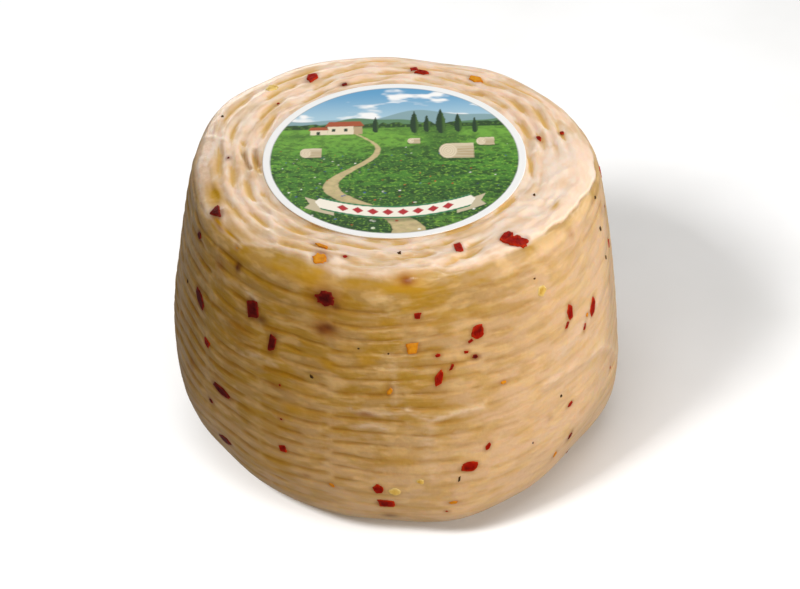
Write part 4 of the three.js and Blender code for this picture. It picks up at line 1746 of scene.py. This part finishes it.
@dataclass
class Landscape:
    """The label's printed picture: hills, a meadow with a track, a farmhouse, trees and bales.

    Each method prints one thing over what is there, in colour and in meadow, the share of fine
    grass at each place. A tree, bale or ribbon is where the distance from its middle line is
    under its half width, with an edge as soft as print.

    Attributes:
        radius: of the printed round, inside the white rim, in millimetres.
        x: the paper's places, in millimetres to the right of its middle.
        y: the same places, up from its middle and away from the front.
        horizon: height of the far edge of the meadow, up from the middle.
        soft: half width of a printed edge.
    """

    radius: float
    x: Array
    y: Array
    horizon: float = 15.5
    sky_high: int = 0x5B9FCC
    sky_low: int = 0xB2D3E2
    cloud: int = 0xFBFCFC
    far_hill: int = 0x86A7AE
    near_hill: int = 0x5B8560
    wood: int = 0x22451A
    wood_light: int = 0x55802C
    meadow_far: int = 0x6FA83A
    meadow_middle: int = 0x4C8C28
    meadow_near: int = 0x24501C
    path_sand: int = 0xD9C492
    wall: int = 0xE9DCC0
    wall_shade: int = 0xB9A27C
    roof: int = 0xA8502C
    cypress: int = 0x14371A
    ribbon: int = 0xF7F1E2
    ribbon_edge: int = 0xB5242A
    ribbon_green: int = 0x1F7A45
    ribbon_back: int = 0xC9BD9E
    poppy: int = 0xC3261B
    cornflower: int = 0x3A4FA8
    daisy: int = 0xF8F6EE
    rim: int = 0xF4F5F5
    hairline: int = 0x8C8F8C
    soft: float = 0.12

    def __post_init__(self) -> None:
        """Start with a pale sky and no grass."""
        self.colour = np.tile(linear(self.sky_low), (len(self.x), 1))
        self.meadow = np.zeros_like(self.x)

    def lay(self, colour: int, share: Array) -> None:
        """Print a hex colour over a share of each place."""
        self.colour = laid(self.colour, colour, share)

    def clear(self, share: Array) -> None:
        """Take the fine grass off a share of each place."""
        self.meadow = self.meadow * (1 - share)

    def noise(self, size_y: float, size_x: float, start: float, seed: int) -> Array:
        """Random field with lumps of a size, in millimetres, from a place in its lattice."""
        return lattice_noise(self.y / size_y + start, self.x / size_x + start, seed)

    def paint(self) -> None:
        """Print the picture, back to front, and the white rim with its hairline."""
        for layer in (self.print_sky, self.print_hills, self.print_meadow, self.print_track,
                      self.print_farmhouse, self.print_cypresses, self.print_bales,
                      self.print_flowers, self.print_banner):
            layer()
        away = np.hypot(self.x, self.y) - self.radius
        outside = smoothstep(away, -self.soft, self.soft)
        self.lay(self.rim, outside)
        self.lay(self.hairline, 0.5 * bell(away, 0.16))
        self.clear(outside)

    def print_sky(self) -> None:
        """Print blue that pales towards the horizon, with clouds where layered noise is high."""
        layers = (1, 2, 4)
        self.lay(self.sky_high, smoothstep(self.y, self.horizon, self.radius))
        cloud = sum(self.noise(2.6 / k, 6.5 / k, 40, Seed.CLOUDS + k) / k for k in layers)
        cloud = cloud / sum(1 / k for k in layers)
        self.lay(self.cloud, smoothstep(cloud, 0.5, 0.72))

    def print_hills(self) -> None:
        """Print two ridges of hills, each a sum of sines, and a wood along the far edge."""
        x, y = self.x, self.y
        far = self.horizon + 5.4 + 2.2 * np.sin(x / 9 + 0.4) + 0.9 * np.sin(x / 3.7)
        near = self.horizon + 3.0 + 1.6 * np.sin(x / 7 + 2.6) + 0.5 * np.sin(x / 2.6)
        crowns = lattice_noise(np.zeros_like(x), x / 1.5 + 40, Seed.TREE_CROWNS)
        edge = self.horizon + 1.0 + 1.5 * crowns
        wood = falling(y, edge - 0.2, edge + 0.2)
        leaves = smoothstep(self.noise(0.6, 0.7, 90, Seed.WOOD_LEAVES), 0.5, 0.8)
        self.lay(self.far_hill, falling(y, far - 0.3, far + 0.3))
        self.lay(self.near_hill, falling(y, near - 0.25, near + 0.25))
        self.lay(self.wood, wood)
        self.lay(self.wood_light, wood * leaves * 0.8)

    def print_meadow(self) -> None:
        """Print grass that darkens towards the viewer, with flat bands of light and shade."""
        y = self.y
        field = falling(y, self.horizon - 0.6, self.horizon - 0.1)
        grass = laid(np.tile(linear(self.meadow_far), (len(y), 1)), self.meadow_middle,
                     falling(y, -4, self.horizon - 2))
        grass = laid(grass, self.meadow_near, falling(y, -self.radius, 2))
        band = self.noise(2.4, 14, 60, Seed.MEADOW_BANDS)
        grass = laid(grass, self.meadow_near, smoothstep(band, 0.5, 0.85) * 0.65)
        grass = laid(grass, self.meadow_far, smoothstep(1 - band, 0.62, 0.9) * 0.45)
        self.colour = self.colour * (1 - field[:, None]) + grass * field[:, None]
        self.meadow = field * np.clip(0.35 + (self.horizon - y) / 30, 0, 1)

    def print_track(self) -> None:
        """Print a sandy track that winds from the farmhouse and widens towards the viewer."""
        down = np.clip((self.horizon - 1.5 - self.y) / 60, 0, 1)
        middle = -13 + 8 * np.sin(down * 10.2) + 14 * down ** 2
        half = 0.35 + 6 * down ** 1.5
        ragged = 0.35 * (self.noise(0.8, 0.8, 90, Seed.TRACK_EDGE) - 0.5)
        track = falling(np.abs(self.x - middle), half - 0.2 + ragged, half + 0.25 + ragged)
        track = track * smoothstep(down, 0.0, 0.02)
        self.lay(self.path_sand, track * 0.9)
        self.lay(self.wall_shade, track * self.noise(0.7, 1.6, 90, Seed.TRACK_WEAR) * 0.6)
        self.clear(0.8 * track)

    def print_farmhouse(self) -> None:
        """Print a low stone house with a lean-to: walls, a shaded end, roofs, dark openings."""
        parts = (  # colour, kind, left, right, low and high
            (self.wall, box_share, -19, -11.5, 12.4, 16.6),
            (self.wall_shade, box_share, -11.5, -9, 12.4, 16.2),
            (self.wall, box_share, -24, -19, 12.4, 14.8),
            (self.roof, roof_share, -19.8, -8.4, 16.4, 18.8),
            (self.roof, roof_share, -24.6, -18.6, 14.7, 16.2),
            (self.cypress, box_share, -17.8, -16.8, 13.9, 15.3),
            (self.cypress, box_share, -14.3, -13.3, 13.9, 15.3),
            (self.cypress, box_share, -22.2, -21.2, 12.4, 14),
        )
        for colour, kind, *edges in parts:
            share = kind(self.x, self.y, *edges, self.soft)
            self.lay(colour, share)
            self.clear(share)

    def print_cypresses(self) -> None:
        """Print a row of cypresses: tall leaf shapes, each with a lit flank."""
        trees = ((6, 12.2, 11), (9.6, 12.6, 8.6), (13.6, 11.8, 12.4), (18.6, 12.4, 9.4),
                 (23.4, 12, 7.6), (-5.2, 12.8, 8))  # foot's place and height
        leaf = 0.3 * (self.noise(0.5, 0.5, 90, Seed.CYPRESS_EDGE) - 0.5)
        for foot_x, foot_y, tall in trees:
            x, y = self.x - foot_x, self.y - foot_y
            half = 1.25 * np.sin(np.pi * np.clip(y / tall, 0, 1) ** 0.62) ** 0.8 * (tall / 11)
            tree = falling(np.abs(x), half - 0.12 + leaf, half + 0.15 + leaf)
            tree = tree * (y > 0) * (y < tall)
            self.lay(self.cypress, tree)
            self.lay(self.wood_light, tree * smoothstep(x, 0.1, 0.9) * 0.55)
            self.clear(tree)

    def print_bales(self) -> None:
        """Print round straw bales: a shadow on the grass, a coiled drum and its pale end."""
        bales = ((17.5, 3.2, 4.2), (26, 7.6, 2.2), (-24, 3.6, 2.6), (5.6, 8.4, 1.5))
        stalks = 3 * self.noise(0.6, 2, 90, Seed.BALE_STRAW)
        for middle_x, middle_y, size in bales:
            across, up = (self.x - middle_x) / size, (self.y - middle_y) / size
            shadow = falling(np.hypot((across - 0.3) / 1.7, (up + 0.86) / 0.3), 0.7, 1.1)
            reach = np.maximum(np.abs(across - 0.35) / 0.9, np.abs(up) / 0.86)
            body = falling(reach, 0.97, 1.03)
            end = np.hypot((across + 0.5) / 0.62, up / 0.86)
            face = falling(end, 0.97, 1.03)
            self.lay(self.meadow_near, shadow * 0.8)
            self.lay(self.wall_shade, body)
            self.lay(self.ribbon_back, body * (0.5 + 0.5 * np.sin(up * 21 + stalks)))
            self.lay(self.wall, body * smoothstep(up, 0.1, 0.9) * 0.7)
            self.lay(self.wall, face)
            self.lay(self.wall_shade, face * (0.5 + 0.5 * np.cos(end * 26)) * 0.55)
            self.clear(np.maximum(body, face))

    def print_flowers(self) -> None:
        """Print poppies, daisies and cornflowers in the near grass, larger towards the viewer."""
        rng = np.random.default_rng(int(Seed.FLOWERS))
        kinds = (self.poppy, self.daisy, self.cornflower)
        for i in range(120):
            down = rng.random() ** 0.8
            y = self.y - (6 - 40 * down)
            x = self.x - rng.uniform(-34, 34)
            size = (0.22 + 0.38 * down) * rng.uniform(0.8, 1.2)
            near = np.abs(y) < 2
            dot = np.zeros_like(x)
            dot[near] = falling(np.hypot(x[near], y[near] * 1.25), size * 0.6, size)
            self.lay(kinds[i % len(kinds)], dot)

    def print_banner(self) -> None:
        """Print a ribbon bent along the lower edge, with green edges and red lozenges."""
        aside = np.abs(self.x)
        bend = self.y + 25.5 - 0.011 * self.x ** 2
        cut = aside - 22.5 + 1.8 * np.abs(bend) / 3
        inside = falling(np.abs(bend), 2.75, 2.95) * falling(cut, -0.1, 0.1)
        tail_bend = np.abs(bend + 1.7)
        tail_cut = aside - 25.6 + 1.6 * (1 - tail_bend / 2.9)
        tail = falling(tail_bend, 2.5, 2.7) * falling(tail_cut, -0.1, 0.1)
        tail = tail * smoothstep(aside, 17, 17.2)
        shade = falling(np.abs(bend + 0.9), 2.6, 4.2) * falling(cut, -0.2, 1.6)
        across = np.abs(np.mod(self.x / 4.2, 1) - 0.5)
        lozenge = falling(across * 2.6 + np.abs(bend) / 1.45, 0.92, 1.08)
        self.lay(self.meadow_near, shade * 0.5)
        self.lay(self.ribbon_back, tail)
        self.lay(self.ribbon, inside)
        self.lay(self.ribbon_green, smoothstep(np.abs(bend), 2.1, 2.25) * inside)
        self.lay(self.ribbon_edge, lozenge * inside * (aside < 16.8))
        self.clear(np.maximum(inside, tail))


@dataclass
class PaperLabel:
    """The round label: a closed disc whose upper face carries the print, in millimetres.

    Attributes:
        low: lowest corner of the label's solid, in metres.
        high: its highest corner.
        steps: cells across the upper face.
        rim_share: width of the white rim, as a share of the radius.
        ripple: how far the paper waves up and down.
    """

    low: Vector
    high: Vector
    steps: int = 280
    rim_share: float = 0.058
    ripple: float = 0.05

    @property
    def radius(self) -> float:
        """Radius of the paper."""
        return (self.high.x - self.low.x) / 2 / MM

    @property
    def centre(self) -> tuple[float, float]:
        """Middle of the paper."""
        return (self.high.x + self.low.x) / 2 / MM, (self.high.y + self.low.y) / 2 / MM

    def build(self) -> bpy.types.Object:
        """Make the disc from a square grid drawn into a circle.

        A point of the square goes to x times the root of one less half y squared, and the same
        for y, so the square's edge becomes the circle. The edge of the paper drops to an under
        side that is a fan.

        Returns:
            The finished piece.
        """
        line = np.linspace(-1, 1, self.steps + 1)
        across, up = np.meshgrid(line, line)
        x = (across * np.sqrt(1 - up ** 2 / 2)).ravel() * self.radius
        y = (up * np.sqrt(1 - across ** 2 / 2)).ravel() * self.radius
        top, bottom = self.high.z / MM, self.low.z / MM
        wave = self.ripple * np.sin(x / 9 + 1) * np.sin(y / 11 + 0.4)
        width = self.steps + 1
        number = np.arange(width * width).reshape(width, width)
        corner = number[:-1, :-1].ravel()
        cells = np.stack([corner, corner + 1, corner + width + 1, corner + width], axis=-1)
        rim = np.concatenate([number[0, :-1], number[:-1, -1], number[-1, :0:-1],
                              number[:0:-1, 0]])
        edge = len(rim)
        under = width * width + np.arange(edge)
        wall = np.stack([rim, under, np.roll(under, -1), np.roll(rim, -1)], axis=-1)
        fan = fan_faces(width * width + edge, width * width, edge, True)
        cx, cy = self.centre
        face = np.stack([x + cx, y + cy, top - self.ripple + wave], axis=-1)
        below = np.stack([x[rim] + cx, y[rim] + cy, np.full(edge, bottom)], axis=-1)
        points = np.concatenate([face, below, [[cx, cy, bottom]]])
        picture = Landscape(self.radius * (1 - self.rim_share), x, y)
        picture.paint()
        blank = np.tile(linear(picture.rim), (edge + 1, 1))
        values = {"print": np.concatenate([picture.colour, blank]),
                  "meadow": np.append(picture.meadow, np.zeros(edge + 1))}
        piece = new_piece("paper_label", points, [cells, wall, fan], values,
                          PaperFinish().material())
        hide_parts("label")
        return piece


# ---- The studio ----


@dataclass(frozen=True)
class Lamp:
    """A square soft light aimed at the cheese.

    Attributes:
        name: its name.
        azimuth: degrees from the front towards +X.
        elevation: degrees above the floor.
        distance: metres from the cheese.
        size: side of its square in metres.
        power: watts.
        colour: its colour.
    """

    name: str
    azimuth: float
    elevation: float
    distance: float
    size: float
    power: float
    colour: int = 0xFFFFFF

    def place(self, aim: Vector) -> bpy.types.Object:
        """Put the light in the scene, facing what it is aimed at.

        Args:
            aim: the place, in metres.

        Returns:
            The light.
        """
        data = bpy.data.lights.new(self.name, "AREA")
        data.size = self.size
        data.energy = self.power
        data.color = linear(self.colour)[:3]
        turn, rise = math.radians(self.azimuth), math.radians(self.elevation)
        back = Vector((math.sin(turn) * math.cos(rise), -math.cos(turn) * math.cos(rise),
                       math.sin(rise)))
        lamp = bpy.data.objects.new(self.name, data)
        lamp.location = aim + back * self.distance
        lamp.rotation_mode = "QUATERNION"
        lamp.rotation_quaternion = (-back).to_track_quat("-Z", "Y")
        bpy.context.scene.collection.objects.link(lamp)
        return lamp


@dataclass
class Studio:
    """Floor, lights and camera.

    Attributes:
        elevation: the camera's angle above the floor, in degrees.
        distance: from the middle of the base to the camera, in metres.
        aside: how far the camera stands to the right of that line.
        above: how far it stands above it.
        roll: how far it is turned about its own line of sight, in degrees.
        focal: its focal length in pixels of the photograph.
        near: how near it sees, in metres.
        sensor: width of its sensor in millimetres.
        floor_side: side of the floor in metres.
        floor_gap: how far it lies below the cheese.
        daylight: colour of the weak light from all round.
        ambient: strength of that light.
        aim: what the lights face, in metres.
    """

    elevation: float = 38
    distance: float = 1.0
    aside: float = 0.00012
    above: float = 0.03324
    roll: float = -1.35
    focal: float = 3311.7
    near: float = 0.05
    sensor: float = 36
    floor_side: float = 6
    floor_gap: float = 0.0002
    daylight: int = 0xFFFDFA
    ambient: float = 0.18
    aim: Vector = field(default_factory=lambda: Vector((0, 0, 0.045)))

    def camera(self) -> bpy.types.Object:
        """Stand the camera where the photograph was taken from.

        Returns:
            The camera.
        """
        rise, roll = math.radians(self.elevation), math.radians(self.roll)
        back = Vector((0, -math.cos(rise), math.sin(rise)))
        level, steep = Vector((1, 0, 0)), Vector((0, math.sin(rise), math.cos(rise)))
        right = level * math.cos(roll) + steep * math.sin(roll)
        up = steep * math.cos(roll) - level * math.sin(roll)
        data = bpy.data.cameras.new("camera")
        data.sensor_width = self.sensor
        data.lens = self.sensor * self.focal / PHOTO_WIDTH
        data.clip_start = self.near
        camera = bpy.data.objects.new("camera", data)
        turned = Matrix((right, up, back)).transposed().to_4x4()
        turned.translation = back * self.distance + right * self.aside + up * self.above
        camera.matrix_world = turned
        bpy.context.scene.collection.objects.link(camera)
        bpy.context.scene.camera = camera
        return camera

    def floor(self) -> bpy.types.Object:
        """Lay a pale sheet just under the cheese.

        Returns:
            The floor.
        """
        half = self.floor_side / 2
        mesh = bpy.data.meshes.new("floor")
        corners = [(x * half, y * half, -self.floor_gap)
                   for x, y in ((-1, -1), (1, -1), (1, 1), (-1, 1))]
        mesh.from_pydata(corners, [], [(0, 1, 2, 3)])
        mesh.materials.append(FloorFinish().material())
        floor = bpy.data.objects.new("floor", mesh)
        bpy.context.scene.collection.objects.link(floor)
        return floor

    def light(self, floor: bpy.types.Object) -> None:
        """Light the cheese and the floor apart, as the photograph's are.

        The cheese has a soft light above, warm ones low at the right, in front and behind, a
        small one for its highlights and one for its right rim. The floor has its own above,
        one at the left that throws the shadow to the right, and one that softens it in front.

        Args:
            floor: the floor, which gives the cheese no light.
        """
        world = bpy.data.worlds.new("studio")
        world.use_nodes = True
        sky = world.node_tree.nodes["Background"]
        sky.inputs["Color"].default_value = linear(self.daylight)
        sky.inputs["Strength"].default_value = self.ambient
        bpy.context.scene.world = world
        floor.visible_diffuse = floor.visible_glossy = False  # the set round the cheese was dark
        cheese_only = bpy.data.collections.new("all_but_floor")
        cheese_only.objects.link(floor)
        cheese_only.collection_objects[0].light_linking.link_state = "EXCLUDE"
        floor_only = bpy.data.collections.new("floor_only")
        floor_only.objects.link(floor)
        lamps = (
            (Lamp("top_softbox", 160, 76, 0.9, 0.7, 3.48), cheese_only),
            (Lamp("right_softbox", 64, 14, 1.0, 0.5, 5.2, 0xFFF6EC), cheese_only),
            (Lamp("low_fill", -2, 5, 1.0, 0.3, 4.0, 0xFFEDCE), cheese_only),
            (Lamp("high_spark", 60, 76, 1.0, 0.12, 2.2), cheese_only),
            (Lamp("right_rim", 118, 18, 1.0, 0.4, 1.4), cheese_only),
            (Lamp("back_fill", -164, 7, 1.0, 0.5, 3.4, 0xFFF6EC), cheese_only),
            (Lamp("floor_overhead", 0, 76, 1.4, 0.9, 8.8), floor_only),
            (Lamp("floor_wash", -50, 48, 1.2, 0.3, 12.2), floor_only),
            (Lamp("floor_front", 42, 26, 1.2, 0.5, 4.6), floor_only),
        )
        for lamp, receivers in lamps:
            lamp.place(self.aim).light_linking.receiver_collection = receivers

    def build(self) -> None:
        """Set up the whole studio, and show colours as they are."""
        self.light(self.floor())
        self.camera()
        bpy.context.scene.view_settings.view_transform = "Standard"


def main() -> None:
    """Build the studio, the curd, what is pressed into it and the label, and keep the sizes."""
    logging.basicConfig(level=logging.INFO, format="%(name)s %(message)s")
    Studio().build()
    label = PaperLabel(*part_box("label"))
    drum = Drum(label.low.z / MM - LABEL_GAP)
    skin = CurdSkin(drum)
    scatter = Scatter(skin)
    Curd(skin, scatter.flakes(), label.radius, label.centre).build()
    scatter.build()
    label.build()


if __name__ == "__main__":
    main()
